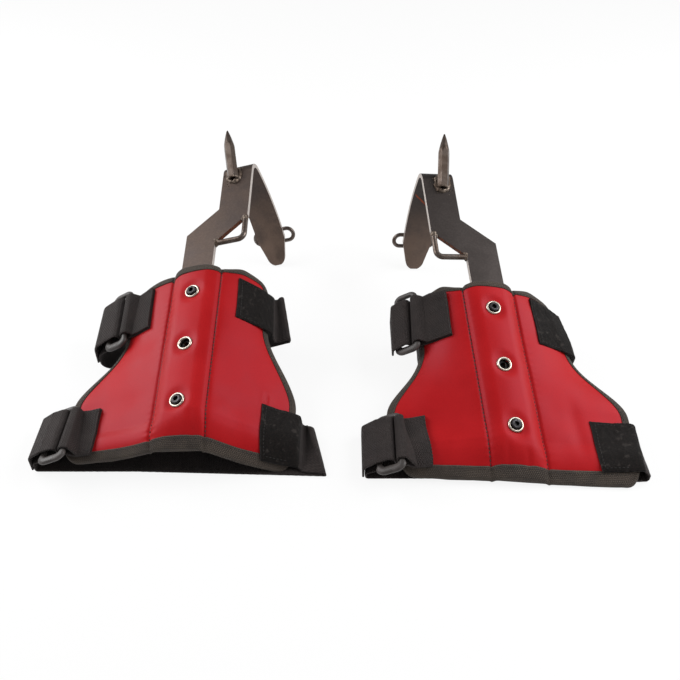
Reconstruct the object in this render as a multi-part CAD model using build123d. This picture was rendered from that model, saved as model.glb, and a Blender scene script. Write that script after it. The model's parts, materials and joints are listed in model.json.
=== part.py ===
from build123d import *
from dataclasses import dataclass
from math import acos, asin, atan2, cos, degrees, radians, sin, sqrt, tan
import os

# Pair of tree climbing spikes, lying face up on a floor.
# Each unit is a flat steel bar that runs up the leg, jogs sideways and folds
# into a foot plate, with a welded gaff, two strap loops, a padded leg cuff and
# two ring-and-tail straps. X is to the right, Y runs from calf to foot, Z is up.
# Millimetres and degrees throughout.

# Steel bar and foot plate
BAR_W = 30.0
BAR_T = 4.0
BAR_TAIL = 64.0          # bar end behind the middle eyelet
BAR_CORNER = 5.0
JOG_START = 117.4        # on the centre line, from the middle eyelet
JOG_END = 143.5
JOG_OFFSET = 30.0
FOLD_AT = 208.3          # where bar and plate would meet without a bend radius
FOLD_ANGLE = 92.7        # turn from the bar to the plate's start
FOLD_R = 9.0             # inside radius
PLATE_BOW = 34.4         # further turn, spread evenly over the plate
PLATE_LENGTH = 122.5     # from the fold corner to the tip, over the curve
PLATE_STRAIGHT = 93.5    # from the fold corner to the start of the taper
PLATE_TIP_R = 9.7
STIRRUP_FROM = 70.0      # where shank and stirrup are parted, inside the sleeve

# Gaff and its weld
GAFF_AT = 199.5          # a point of its axis, along the bar
GAFF_AF = 9.4            # across the flats of the six-sided rod
GAFF_REACH = 40.0        # tip beyond that point
GAFF_BACK = 14.2         # rear end behind that point
GAFF_POINT = 25.0        # length of the ground point
GAFF_TIP_R = 0.6
GAFF_TILT = 14.5         # away from the bar's face
GAFF_LEAN = 5.7          # sideways, away from the plate's side
GAFF_RISE = 6.2          # axis above the bar's face at that point
GAFF_SIDE = 4.1          # axis beside the upper bar's centre line, at that point
GAFF_BORE_R = 2.8
GAFF_BORE_DEPTH = 4.0
GAFF_GRIND = 1.1         # radius of the grind where it meets the rod, from the corners
GAFF_BULGE = 0.68        # of that radius half way along the point
WELD_HALF_W = 9.0
WELD_HALF_L = 10.0
WELD_H = 3.6
WELD_BACK = 3.0          # weld's middle behind the middle of the gaff's foot

# Strap loops of round steel
SIDE_ROD_D = 5.2
SIDE_ROD_BEND_R = 6.0
SIDE_ROD_INSET = 2.4     # rod axis inside the upper bar's inner edge
SIDE_ROD_DROP = 0.4      # rod axis behind the jog's lower inner corner
SOLE_WIRE_D = 4.0
SOLE_LOOP_W = 46.0       # outside, across the plate
SOLE_LOOP_L = 17.0       # outside, along the plate
SOLE_LOOP_AT = 93.0      # loop centre from the fold corner, over the curve
SOLE_LOOP_SIDE = 2.6     # loop centre beside the plate's centre line
LOOP_WELD_R = 3.6
LOOP_WELD_L = 2.4
SOLE_BEAD_R = 1.2
SOLE_BEAD_L = 11.0
STEEL_GAP = 0.05

# Eyelets and screws
EYELET_PITCH = 55.0
EYELET_OD = 13.4
EYELET_BORE = 9.2
EYELET_H = 1.3           # flange above the cover
EYELET_WALL = 0.4
WASHER_T = 0.45
SCREW_D = 5.0
SCREW_HEAD_D = 8.6
SCREW_HEAD_H = 5.0
SCREW_HEX_AF = 4.0
SCREW_HEX_DEPTH = 2.6
SCREW_CLEARANCE = 0.05
SCREW_SHORT = 0.3        # screw end short of the bar's back

# Leg pad, lengths along the bar from the middle eyelet
PAD_NEAR = -90.5
PAD_LOBE = -36.0
PAD_WAIST = 34.0
PAD_FAR = 84.0
SLEEVE_W = 46.0          # seam to seam
SLEEVE_TOP_W = 35.0
FOAM_T = 7.0
COVER_T = 1.2
LINING_T = 1.0
LAYER_GAP = 0.2
BAR_GAP = 0.3            # bar to foam
BAR_ROOM = 0.9           # bar to cover, where the washers lie
NEAR_SLEEVE_H = 2.4      # sleeve height at the calf edge, past the bar's end
SLEEVE_EASE = 2.0        # behind the bar's end, where the sleeve starts to sink
SLEEVE_SPREAD = 30.0     # slope of the sleeve's shoulders, from its height
WING_NEAR = 73.0         # seam to edge, measured over the curve
WING_LOBE = 81.0
WING_WAIST = 50.0
WING_FAR = 48.0
BIND_W = 9.0
BIND_T = 0.8
BIND_GAP = 0.15
PAD_STEPS = 4            # sections between two named stations

# Straps and rings
STRAP_W = 42.0
STRAP_T = 1.8
STRAP_LIFT = 0.85        # strap above the cover
STEP_FROM = 7.0          # inside the tape, where a strap starts to climb over it
STEP_TO = 1.5            # inside the tape, where it has climbed
STEP_R = 4.0             # bends of that climb
UPPER_FROM = 10.0        # inside the tape, where a tab's upper layer lies down
LIP = 3.0                # strap beyond the pad's edge before it turns down
LIP_R = 5.0
LANDING_R = 12.0         # bend where a strap comes down to the floor
FOLD_SHARE = 0.38        # bend of the sewn side's fold, from its height
TURN_SHARE = 0.98        # bend round a ring bar, from the room there
TAIL_SLOPE = 0.75        # drop of a tail for its reach, down to its knee
TAB_LENGTH = 27.0
PATCH_LENGTH = 33.0
TAB_BEND_R = 3.5
RING_BAR_D = 4.5
RING_PITCH = 19.0        # bar to bar
RING_SIDE_ROOM = 3.5     # strap edge to ring
RING_INSET = 5.0         # inner bar inside the pad's edge
RING_LIFT = 2.3          # extra height of the tab's fold
WRAP_R = 4.9             # strap round the outer bar, middle of its thickness
TAIL_GAP = 0.4
STRAP_SECTIONS = 5
RING_SWING = 4.0         # each way, in the slack of the strap
TAIL_PEEL = 110.0
UNIT_SLIDE = 120.0       # the right unit set further away

# Space between the resting plate tip and the floor
TIP_CLEARANCE = 0.0
TIP_STEPS = 24


@dataclass
class Pose:
    """How one unit lies on the floor."""

    name: str
    hand: int              # +1: the bar jogs towards +X
    x: float               # middle eyelet
    y: float
    near_height: float     # bar plane above the floor at the pad's calf edge
    yaw: float
    roll: float
    near_roll: float       # sleeve at the calf edge, where the bar no longer holds it
    left_slopes: tuple     # downward slope at seam and edge, at the four pad stations
    right_slopes: tuple


@dataclass
class Strap:
    """Where one strap lies; X and Z on the floor, near and far value where two."""

    name: str
    near_y: float          # from the middle eyelet
    ring_tilt: float       # ring below the horizontal
    bend_x: tuple          # outermost run at the ring side, from the middle eyelet
    fold_x: tuple          # outermost run at the sewn side, from the middle eyelet
    fold_top: float
    fold_low: float
    landing_x: float       # where the run meets the floor, from the middle eyelet
    bend_r: float
    tail_end: float        # height of the free end


LEFT = Pose("left", 1, -129.4, 18.0, 38.0, -0.8, -17.0, -6.0,
            ((26, 2), (30, 10), (32, 36), (30, 42)),
            ((30, 12), (36, 26), (26, 40), (22, 46)))
RIGHT = Pose("right", -1, 138.3, 7.8, 14.0, 5.0, 7.1, 1.0,
             ((4, -2), (22, 8), (26, 42), (24, 54)),
             ((3, -2), (14, 4), (20, 32), (26, 42)))

STRAPS = {
    "left": (
        Strap("calf", -86.0, 20.0, (-120.6, -120.6), (117.0, 107.0), 7.0, 0.9, None, 2.0, 2.6),
        Strap("ankle", 33.0, 31.0, (-91.0, -89.0), (86.0, 84.0), 34.0, 25.0, 48.0, 8.0, 8.0),
    ),
    "right": (
        Strap("calf", -86.0, 18.0, (-117.2, -117.2), (112.5, 110.5), 7.0, 0.9, None, 2.0, 2.6),
        Strap("ankle", 36.0, 38.0, (-88.5, -88.5), (72.0, 70.0), 24.0, 16.0, 48.0, 8.0, 8.0),
    ),
}

# Derived sizes
SLEEVE_H = BAR_GAP + BAR_T + BAR_ROOM
COVER_TOP = LAYER_GAP + COVER_T
LINING_TOP = -FOAM_T - LAYER_GAP
BIND_ROOM = BIND_GAP + BIND_T
JOG_TURN = atan2(JOG_OFFSET, JOG_END - JOG_START)
JOG_MITRE = BAR_W / 2 * tan(JOG_TURN / 2)
FOLD_MID_R = FOLD_R + BAR_T / 2
FOLD_TANGENT = FOLD_MID_R * tan(radians(FOLD_ANGLE) / 2)
FOLD_START = FOLD_AT - FOLD_TANGENT
PLATE_RUN = PLATE_LENGTH - FOLD_TANGENT
BOW_R = PLATE_RUN / radians(PLATE_BOW)
LOOP_SPAN = SOLE_LOOP_W - SOLE_LOOP_L


def turn_rows(yaw, pitch, roll):
    """Rows of the turn by roll about Y, then pitch about X, then yaw about Z."""
    cy, sy = cos(radians(yaw)), sin(radians(yaw))
    cp, sp = cos(radians(pitch)), sin(radians(pitch))
    cr, sr = cos(radians(roll)), sin(radians(roll))
    return (
        (cy * cr - sy * sp * sr, -sy * cp, cy * sr + sy * sp * cr),
        (sy * cr + cy * sp * sr, cy * cp, sy * sr - cy * sp * cr),
        (-cp * sr, sp, cp * cr),
    )


def plate_shadow(s):
    """Length along the plate's middle tangent for a length s over its curve."""
    return BOW_R * (sin(s / BOW_R - radians(PLATE_BOW) / 2) + sin(radians(PLATE_BOW) / 2))


def plate_profile(u, h):
    """Y and Z of the plate at a shadow length u and a height h above its middle surface."""
    fold = radians(FOLD_ANGLE)
    turn = fold + asin(u / BOW_R - sin(radians(PLATE_BOW) / 2)) + radians(PLATE_BOW) / 2
    y = FOLD_START + FOLD_MID_R * sin(fold) + BOW_R * (sin(turn) - sin(fold))
    z = BAR_T / 2 - FOLD_MID_R * (1 - cos(fold)) + BOW_R * (cos(turn) - cos(fold))
    return y + h * sin(turn), z + h * cos(turn)


def plate_low_point(pose, pitch):
    """Height of the plate's lowest point when the calf edge is at its height."""
    up = turn_rows(pose.yaw, pitch, pose.roll)[2]
    tip_u = plate_shadow(PLATE_RUN) - PLATE_TIP_R
    heights = []
    for k in range(TIP_STEPS + 1):
        angle = radians(180 * k / TIP_STEPS - 90)
        for h in (-BAR_T / 2, BAR_T / 2):
            y, z = plate_profile(tip_u + PLATE_TIP_R * cos(angle), h)
            x = pose.hand * JOG_OFFSET + PLATE_TIP_R * sin(angle)
            heights.append(up[0] * x + up[1] * (y - PAD_NEAR) + up[2] * z)
    return pose.near_height + min(heights)


def resting_pitch(pose):
    """Pitch at which the plate's tip meets the floor, by halving."""
    low, high = 0.0, 45.0
    for _ in range(50):
        middle = (low + high) / 2
        if plate_low_point(pose, middle) < TIP_CLEARANCE:
            low = middle
        else:
            high = middle
    return (low + high) / 2


class Unit:
    """Frames and surfaces of one unit, worked out from its pose."""

    def __init__(self, pose):
        self.pose = pose
        self.pitch = resting_pitch(pose)
        self.rows = turn_rows(pose.yaw, self.pitch, pose.roll)
        self.z = pose.near_height - self.rows[2][1] * PAD_NEAR
        self.lean = sqrt(self.rows[0][2] ** 2 + self.rows[2][2] ** 2)
        self.steel = (Pos(pose.x, pose.y, self.z) * Rot(0, 0, pose.yaw)
                      * Rot(self.pitch, 0, 0) * Rot(0, pose.roll, 0))
        self.stations = [self.along_to_y(d) for d in (PAD_NEAR, PAD_LOBE, PAD_WAIST, PAD_FAR)]
        self.bar_end_y = self.along_to_y(-BAR_TAIL)

    def along_to_y(self, d):
        """Y of the bar's centre line at a length from the middle eyelet."""
        return self.pose.y + d * self.rows[1][1]

    def blend(self, values, y):
        """Value between the four stations, eased so that it has no corner."""
        ys = self.stations
        if y <= ys[0]:
            return values[0]
        for i in range(3):
            if y <= ys[i + 1]:
                t = (y - ys[i]) / (ys[i + 1] - ys[i])
                ease = t * t * (3 - 2 * t)
                return values[i] + (values[i + 1] - values[i]) * ease
        return values[-1]

    def near_share(self, y):
        """1 at the calf edge, 0 from the bar's end on."""
        start = self.bar_end_y - SLEEVE_EASE
        return min(max((start - y) / (start - self.stations[0]), 0.0), 1.0)

    def sleeve_frame(self, y):
        """Middle of the foam's top under the sleeve, with its across and up directions.

        Heights off the bar are measured square to it, so in the section they are longer by its lean.
        """
        d = (y - self.pose.y) / self.rows[1][1]
        x = self.pose.x + d * self.rows[0][1]
        z = self.z + d * self.rows[2][1]
        held = degrees(atan2(-self.rows[0][2], self.rows[2][2]))
        tilt = radians(held + (-self.pose.near_roll - held) * self.near_share(y))
        across = (cos(tilt), sin(tilt))
        up = (-sin(tilt), cos(tilt))
        gap = BAR_GAP / self.lean
        return (x - gap * up[0], z - gap * up[1]), across, up

    def wing(self, side, y):
        """Seam point, length and the two slopes of one wing; side is -1 or +1."""
        middle, across, _ = self.sleeve_frame(y)
        slopes = self.pose.left_slopes if side < 0 else self.pose.right_slopes
        start = radians(self.blend([s[0] for s in slopes], y))
        end = radians(self.blend([s[1] for s in slopes], y))
        length = self.blend([WING_NEAR, WING_LOBE, WING_WAIST, WING_FAR], y)
        seam = (middle[0] + side * SLEEVE_W / 2 * across[0],
                middle[1] + side * SLEEVE_W / 2 * across[1])
        return seam, length, start, end

    def wing_point(self, side, y, s, h):
        """Point on a wing: s from the seam along the curve, h above the foam."""
        seam, length, start, end = self.wing(side, y)
        slope = start + (end - start) * s / length
        radius = length / (end - start)
        x = radius * (sin(slope) - sin(start)) + h * sin(slope)
        z = radius * (cos(slope) - cos(start)) + h * cos(slope)
        return seam[0] + side * x, seam[1] + z

    def edge_point(self, side, y, inset, h):
        """Point on a wing, counted inwards from its edge and up from the cover."""
        length = self.wing(side, y)[1]
        return self.wing_point(side, y, length - inset, COVER_TOP + h)

    def edge_frame(self, side, y):
        """Outward and upward directions in the section, at a wing's edge."""
        end = self.wing(side, y)[3]
        return (side * cos(end), -sin(end)), (side * sin(end), cos(end))

    def strap_lift(self, y):
        """Middle of a strap above the cover, raised where it lies on the end binding."""
        near, far = self.stations[0] + BIND_W, self.stations[-1] - BIND_W
        on_tape = y < near or y > far
        return STRAP_LIFT + STRAP_T / 2 + (BIND_ROOM if on_tape else 0.0)

    def sleeve_height(self, y):
        """Height of the sleeve's hollow above the foam."""
        return SLEEVE_H + (NEAR_SLEEVE_H - SLEEVE_H) * self.near_share(y)

    def steps(self, near_extra, far_extra):
        """Section places from calf edge to ankle edge, moved outwards at the ends."""
        ys = self.stations
        low, high = ys[0] - near_extra, ys[-1] + far_extra
        places = [a + (b - a) * k / PAD_STEPS for a, b in zip(ys, ys[1:]) for k in range(PAD_STEPS)]
        places = places[1:] + [self.bar_end_y - SLEEVE_EASE]
        return [low] + sorted(p for p in places if low < p < high) + [high]


def at(point, y):
    """Section point as a point in space."""
    return Vector(point[0], y, point[1])


def pad_section(unit, y, low, high, grow, raised):
    """Face across the pad between two heights; raised follows the sleeve on its top and bottom."""

    def wing_arc(side, h, reverse):
        length = unit.wing(side, y)[1] + grow
        ends = [at(unit.wing_point(side, y, s, h), y) for s in (0.0, length / 2, length)]
        if reverse:
            ends.reverse()
        return ThreePointArc(*ends)

    def sleeve_line(h, lift):
        left = at(unit.wing_point(-1, y, 0.0, h), y)
        right = at(unit.wing_point(1, y, 0.0, h), y)
        if not lift:
            return [left, right]
        middle, across, up = unit.sleeve_frame(y)
        top = (h + unit.sleeve_height(y) - LAYER_GAP) / unit.lean
        half = SLEEVE_TOP_W / 2 + h * tan(radians(SLEEVE_SPREAD))
        shoulders = [Vector(middle[0] + side * half * across[0] + top * up[0], y,
                            middle[1] + side * half * across[1] + top * up[1])
                     for side in (-1, 1)]
        return [left, shoulders[0], shoulders[1], right]

    top = sleeve_line(high, raised[1])
    bottom = sleeve_line(low, raised[0])
    edges = [wing_arc(-1, high, True)]
    edges += [Line(a, b) for a, b in zip(top, top[1:])]
    edges.append(wing_arc(1, high, False))
    edges.append(Line(edges[-1] @ 1, wing_arc(1, low, False) @ 1))
    edges.append(wing_arc(1, low, True))
    edges += [Line(b, a) for a, b in reversed(list(zip(bottom, bottom[1:])))]
    edges.append(wing_arc(-1, low, False))
    edges.append(Line(edges[-1] @ 1, edges[0] @ 0))
    return Face(Wire(edges))


def pad_layer(unit, low, high, grow, raised, near_extra, far_extra):
    """Solid between two heights over the whole pad."""
    sections = [pad_section(unit, y, low, high, grow, raised) for y in unit.steps(near_extra, far_extra)]
    return loft(sections, ruled=True)


def rounded(points, radii):
    """Pieces of a path through points with rounded corners: lines, then arcs by start, middle, end."""
    pieces = []
    last = points[0]
    for i in range(1, len(points) - 1):
        before = (points[i][0] - points[i - 1][0], points[i][1] - points[i - 1][1])
        after = (points[i + 1][0] - points[i][0], points[i + 1][1] - points[i][1])
        a, b = sqrt(before[0] ** 2 + before[1] ** 2), sqrt(after[0] ** 2 + after[1] ** 2)
        d1, d2 = (before[0] / a, before[1] / a), (after[0] / b, after[1] / b)
        turn = atan2(d1[0] * d2[1] - d1[1] * d2[0], d1[0] * d2[0] + d1[1] * d2[1])
        reach = radii[i - 1] * tan(abs(turn) / 2)
        start = (points[i][0] - reach * d1[0], points[i][1] - reach * d1[1])
        end = (points[i][0] + reach * d2[0], points[i][1] + reach * d2[1])
        sign = 1 if turn > 0 else -1
        n1, n2 = (-d1[1], d1[0]), (-d2[1], d2[0])
        centre = (start[0] + sign * radii[i - 1] * n1[0], start[1] + sign * radii[i - 1] * n1[1])
        nm = (n1[0] + n2[0], n1[1] + n2[1])
        size = sqrt(nm[0] ** 2 + nm[1] ** 2)
        nm = (nm[0] / size, nm[1] / size)
        middle = (centre[0] - sign * radii[i - 1] * nm[0], centre[1] - sign * radii[i - 1] * nm[1])
        pieces.append(((last, n1), (start, n1)))
        pieces.append(((start, n1), (middle, nm), (end, n2)))
        last = end
    final = (points[-1][0] - points[-2][0], points[-1][1] - points[-2][1])
    size = sqrt(final[0] ** 2 + final[1] ** 2)
    n = (-final[1] / size, final[0] / size)
    pieces.append(((last, n), (points[-1], n)))
    return pieces


def ribbon_section(points, radii, y):
    """Face across a strap that follows a rounded path in a plane across Y."""

    def side_edges(h):
        edges = []
        for piece in rounded(points, radii):
            ends = [at((p[0] + h * n[0], p[1] + h * n[1]), y) for p, n in piece]
            edges.append(Line(*ends) if len(ends) == 2 else ThreePointArc(*ends))
        return edges

    first = side_edges(STRAP_T / 2)
    second = side_edges(-STRAP_T / 2)
    back = [Line(e @ 1, e @ 0) if isinstance(e, Line) else ThreePointArc(e @ 1, e @ 0.5, e @ 0)
            for e in reversed(second)]
    edges = first + [Line(first[-1] @ 1, back[0] @ 0)] + back + [Line(back[-1] @ 1, first[0] @ 0)]
    return Face(Wire(edges))


def plate_frame(hand, s):
    """Frame on the plate, s from its start: Y runs to the tip, Z = 0 is the sole side."""
    start = Pos(hand * JOG_OFFSET, FOLD_START, -FOLD_R) * Rot(-FOLD_ANGLE, 0, 0) * Pos(0, 0, FOLD_R)
    depth = BOW_R - BAR_T / 2
    return start * Pos(0, 0, -depth) * Rot(-degrees(s / BOW_R), 0, 0) * Pos(0, 0, depth)


def shank_outline(hand):
    """Outline of the flat bar up to the fold."""
    half = BAR_W / 2
    points = [(-half, -BAR_TAIL), (-half, JOG_START + JOG_MITRE),
              (JOG_OFFSET - half, JOG_END + JOG_MITRE), (JOG_OFFSET - half, FOLD_START),
              (JOG_OFFSET + half, FOLD_START), (JOG_OFFSET + half, JOG_END - JOG_MITRE),
              (half, JOG_START - JOG_MITRE), (half, -BAR_TAIL)]
    outline = Polyline(*[(hand * x, y) for x, y in points], close=True)
    face = make_face(outline)
    corners = face.vertices().group_by(Axis.Y)[0]
    return fillet(corners, BAR_CORNER)


def plate_outline():
    """Outline of the foot plate's shadow: straight sides that run tangent into a round tip."""
    half = BAR_W / 2
    straight = plate_shadow(PLATE_STRAIGHT - FOLD_TANGENT)
    tip_y = plate_shadow(PLATE_RUN) - PLATE_TIP_R
    reach = sqrt(half ** 2 + (tip_y - straight) ** 2)
    angle = atan2(straight - tip_y, half) + acos(PLATE_TIP_R / reach)
    touch = (PLATE_TIP_R * cos(angle), tip_y + PLATE_TIP_R * sin(angle))
    return make_face([
        Line((-half, -BAR_W), (half, -BAR_W)),
        Line((half, -BAR_W), (half, straight)),
        Line((half, straight), touch),
        ThreePointArc(touch, (0, tip_y + PLATE_TIP_R), (-touch[0], touch[1])),
        Line((-touch[0], touch[1]), (-half, straight)),
        Line((-half, straight), (-half, -BAR_W)),
    ])


def make_strip(hand):
    """Bar, fold and plate as one bent strip, with three tapped holes."""
    flat = extrude(shank_outline(hand), BAR_T)
    end = Pos(hand * JOG_OFFSET, FOLD_START, BAR_T / 2) * Rot(90, 0, 0) * Rectangle(BAR_W, BAR_T)
    bend = revolve(end, Axis((0, FOLD_START, -FOLD_R), (-1, 0, 0)), FOLD_ANGLE)
    wide = Pos(0, 0, BAR_T / 2) * Rot(90, 0, 0) * Rectangle(2 * BAR_W, BAR_T)
    bowed = revolve(wide, Axis((0, 0, BAR_T / 2 - BOW_R), (-1, 0, 0)), PLATE_BOW)
    middle = plate_frame(hand, PLATE_RUN / 2) * Pos(0, -BOW_R * sin(radians(PLATE_BOW) / 2), 0)
    plate = (plate_frame(hand, 0) * bowed) & (middle * extrude(plate_outline(), 2 * BAR_W, both=True))
    holes = [Pos(0, k * EYELET_PITCH, BAR_T / 2) * Cylinder(SCREW_D / 2, 2 * BAR_T) for k in (-1, 0, 1)]
    return (flat + bend + plate - holes).solid()


def split_strip(strip):
    """Shank in the sleeve and stirrup beyond it, parted where the sleeve hides the joint."""
    size = 2 * (FOLD_AT + PLATE_LENGTH)
    beyond = Pos(0, STIRRUP_FROM + size / 2, 0) * Box(size, size, size)
    return (strip - beyond).solid(), (strip & beyond).solid()


def gaff_frame(hand):
    """Frame on the gaff's axis above the bar: Z runs to the tip."""
    return (Pos(hand * (JOG_OFFSET - GAFF_SIDE), GAFF_AT, BAR_T + GAFF_RISE)
            * Rot(0, 0, hand * GAFF_LEAN) * Rot(GAFF_TILT - 90, 0, 0))


def make_gaff(hand):
    """Six-sided rod with a ground point and a centre hole in its rear end."""
    length = GAFF_BACK + GAFF_REACH
    rod = Pos(0, 0, -GAFF_BACK) * extrude(RegularPolygon(GAFF_AF / 2, 6, major_radius=False), length)
    wide_r = GAFF_AF / sqrt(3) * GAFF_GRIND
    shaft = GAFF_REACH - GAFF_POINT
    back = -GAFF_BACK - 1.0
    ogive = make_face([
        Line((0, back), (wide_r, back)),
        Line((wide_r, back), (wide_r, shaft)),
        ThreePointArc((wide_r, shaft), (wide_r * GAFF_BULGE, shaft + GAFF_POINT / 2), (GAFF_TIP_R, GAFF_REACH)),
        Line((GAFF_TIP_R, GAFF_REACH), (0, GAFF_REACH)),
        Line((0, GAFF_REACH), (0, back)),
    ])
    ground = revolve(Rot(90, 0, 0) * ogive, Axis.Z)
    bore = Pos(0, 0, -GAFF_BACK + GAFF_BORE_DEPTH / 2 - STEEL_GAP) * Cylinder(GAFF_BORE_R, GAFF_BORE_DEPTH)
    gaff = gaff_frame(hand) * ((rod & ground) - bore)
    room = 4 * BAR_W
    above = Pos(hand * JOG_OFFSET, FOLD_AT, BAR_T + STEEL_GAP + room / 2) * Box(room, room, room)
    return (gaff & above).solids().sort_by(SortBy.VOLUME)[-1]


def make_gaff_weld(hand, gaff):
    """Bead heaped round the gaff's foot."""
    middle = Pos(hand * (JOG_OFFSET - GAFF_SIDE), GAFF_AT - GAFF_BACK / 2 - WELD_BACK, BAR_T)
    dome = middle * scale(Sphere(1), (WELD_HALF_W, WELD_HALF_L, WELD_H))
    cut = Pos(0, 0, BAR_T - 2 * WELD_H) * Box(8 * BAR_W, 8 * FOLD_AT, 4 * WELD_H)
    return (dome - cut - gaff).solids().sort_by(SortBy.VOLUME)[-1]


def side_rod_axes():
    """Places of the side loop's two legs: X of the long one, Y of the cross one."""
    low_y = JOG_START - JOG_MITRE
    return JOG_OFFSET + BAR_W / 2 - SIDE_ROD_INSET, low_y - SIDE_ROD_DROP


def bar_side_cuts(hand):
    """Blocks on the bar's side of its two edges at the jog's inner corner."""
    half = BAR_W / 2
    low = (half, JOG_START - JOG_MITRE)
    slope = degrees(atan2(JOG_END - JOG_START, JOG_OFFSET))
    edge = Pos(hand * low[0], low[1], 0) * Rot(0, 0, slope if hand > 0 else 180 - slope)
    depth = 2 * JOG_OFFSET
    beyond = edge * Pos(0, hand * (depth / 2 - STEEL_GAP), 0) * Box(6 * BAR_W, depth, depth)
    beside = Pos(hand * (half + STEEL_GAP - depth / 2), low[1] - SIDE_ROD_DROP, 0) * Box(depth, depth, depth)
    return [beyond, beside]


def make_side_loop(hand):
    """Bent rod across the inner corner of the jog, cut off at both bar edges."""
    axis_x, axis_y = side_rod_axes()
    path = FilletPolyline((hand * axis_x, JOG_END, BAR_T / 2), (hand * axis_x, axis_y, BAR_T / 2),
                          (0, axis_y, BAR_T / 2), radius=SIDE_ROD_BEND_R)
    rod = sweep(Plane(path @ 0, z_dir=path % 0) * Circle(SIDE_ROD_D / 2), path)
    return (rod - bar_side_cuts(hand)).solids().sort_by(SortBy.VOLUME)[-1]


def make_sole_loop(hand):
    """Closed oval of wire across the back of the plate."""
    middle = (plate_frame(hand, SOLE_LOOP_AT - FOLD_TANGENT)
              * Pos(hand * SOLE_LOOP_SIDE, 0, BAR_T + SOLE_WIRE_D / 2 + STEEL_GAP))
    half = LOOP_SPAN / 2
    mid_r = (SOLE_LOOP_L - SOLE_WIRE_D) / 2
    ring = []
    for side in (-1, 1):
        ring.append(Pos(0, side * mid_r, 0) * Rot(0, 90, 0) * Cylinder(SOLE_WIRE_D / 2, LOOP_SPAN))
        start = Pos(side * half, -side * mid_r, 0) * Rot(0, side * 90, 0) * Circle(SOLE_WIRE_D / 2)
        ring.append(revolve(start, Axis((side * half, 0, 0), (0, 0, 1)), 180))
    return middle * (ring[0] + ring[1:]).solid()


def make_loop_welds(hand):
    """Collars where the rod meets the bar, and beads beside the wire on the plate."""
    axis_x, axis_y = side_rod_axes()
    collar = Circle(LOOP_WELD_R) - Circle(SIDE_ROD_D / 2 + STEEL_GAP)
    rise = (JOG_END - JOG_START) / JOG_OFFSET
    meet_y = JOG_START - JOG_MITRE + (axis_x - BAR_W / 2) * rise
    low = Pos(hand * BAR_W / 2, axis_y, BAR_T / 2) * Rot(0, hand * 90, 0) * extrude(collar, LOOP_WELD_L)
    high = (Pos(hand * axis_x, meet_y + LOOP_WELD_L, BAR_T / 2) * Rot(90, 0, 0)
            * extrude(collar, 2.5 * LOOP_WELD_L))
    pieces = [(piece - bar_side_cuts(hand)).solids().sort_by(SortBy.VOLUME)[-1] for piece in (low, high)]
    wire_r = SOLE_WIRE_D / 2
    drop = wire_r - SOLE_BEAD_R
    away = sqrt((wire_r + SOLE_BEAD_R + STEEL_GAP) ** 2 - drop ** 2)
    reach = (SOLE_LOOP_L - SOLE_WIRE_D) / 2 + away
    for side in (-1, 1):
        bead = (plate_frame(hand, SOLE_LOOP_AT - FOLD_TANGENT)
                * Pos(0, side * reach, BAR_T + SOLE_BEAD_R + STEEL_GAP)
                * Rot(0, 90, 0) * Cylinder(SOLE_BEAD_R, SOLE_BEAD_L))
        pieces.append(bead.solid())
    return Compound(children=pieces)


def make_eyelets(height):
    """Three flanged rings on the sleeve; height is the cover's top above the bar's back."""
    bore = EYELET_BORE / 2
    outer = EYELET_OD / 2
    crown = EYELET_H
    profile = make_face([
        Line((bore, height - COVER_T), (bore + EYELET_WALL, height - COVER_T)),
        Line((bore + EYELET_WALL, height - COVER_T), (bore + EYELET_WALL, height + STEEL_GAP)),
        Line((bore + EYELET_WALL, height + STEEL_GAP), (outer, height + STEEL_GAP)),
        ThreePointArc((outer, height + STEEL_GAP),
                      ((bore + outer) / 2, height + crown), (bore, height + STEEL_GAP)),
        Line((bore, height + STEEL_GAP), (bore, height - COVER_T)),
    ])
    ring = revolve(Rot(90, 0, 0) * profile, Axis.Z)
    return Compound(children=[(Pos(0, k * EYELET_PITCH, 0) * ring).solid() for k in (-1, 0, 1)])


def make_washers():
    """Flat rings between the bar and the cover, behind the eyelets."""
    lift = BAR_T + (BAR_ROOM - WASHER_T) / 2
    ring = extrude(Circle(EYELET_OD / 2) - Circle(EYELET_BORE / 2 + EYELET_WALL + STEEL_GAP), WASHER_T)
    return Compound(children=[(Pos(0, k * EYELET_PITCH, lift) * ring).solid() for k in (-1, 0, 1)])


def make_screws():
    """Socket-head screws in the two outer holes, heads standing out of the eyelets."""
    head = Cylinder(SCREW_HEAD_D / 2, SCREW_HEAD_H, align=(Align.CENTER, Align.CENTER, Align.MIN))
    head = fillet(head.edges().group_by(Axis.Z)[-1], SCREW_HEAD_H * 0.16)
    hexagon = extrude(RegularPolygon(SCREW_HEX_AF / 2, 6, major_radius=False), SCREW_HEX_DEPTH)
    head = head - Pos(0, 0, SCREW_HEAD_H - SCREW_HEX_DEPTH) * hexagon
    stem = BAR_T - SCREW_SHORT
    shaft = Pos(0, 0, -stem) * Cylinder(SCREW_D / 2 - SCREW_CLEARANCE, stem + STEEL_GAP,
                                        align=(Align.CENTER, Align.CENTER, Align.MIN))
    screw = Pos(0, 0, BAR_T + STEEL_GAP) * (head + shaft)
    return Compound(children=[(Pos(0, k * EYELET_PITCH, 0) * screw).solid() for k in (-1, 1)])


def make_binding(unit, slot):
    """Tape wrapped round the pad's whole edge, open where the bar goes in."""
    low = LINING_TOP - LINING_T
    outer = pad_layer(unit, low - BIND_ROOM, COVER_TOP + BIND_ROOM, BIND_ROOM, (False, True),
                      BIND_ROOM, BIND_ROOM)
    inner = pad_layer(unit, low - BIND_GAP, COVER_TOP + BIND_GAP, BIND_GAP, (False, True),
                      BIND_GAP, BIND_GAP)
    window = pad_layer(unit, low - FOAM_T, COVER_TOP + FOAM_T, -BIND_W, (False, True), -BIND_W, -BIND_W)
    return outer - inner - window - slot


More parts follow.
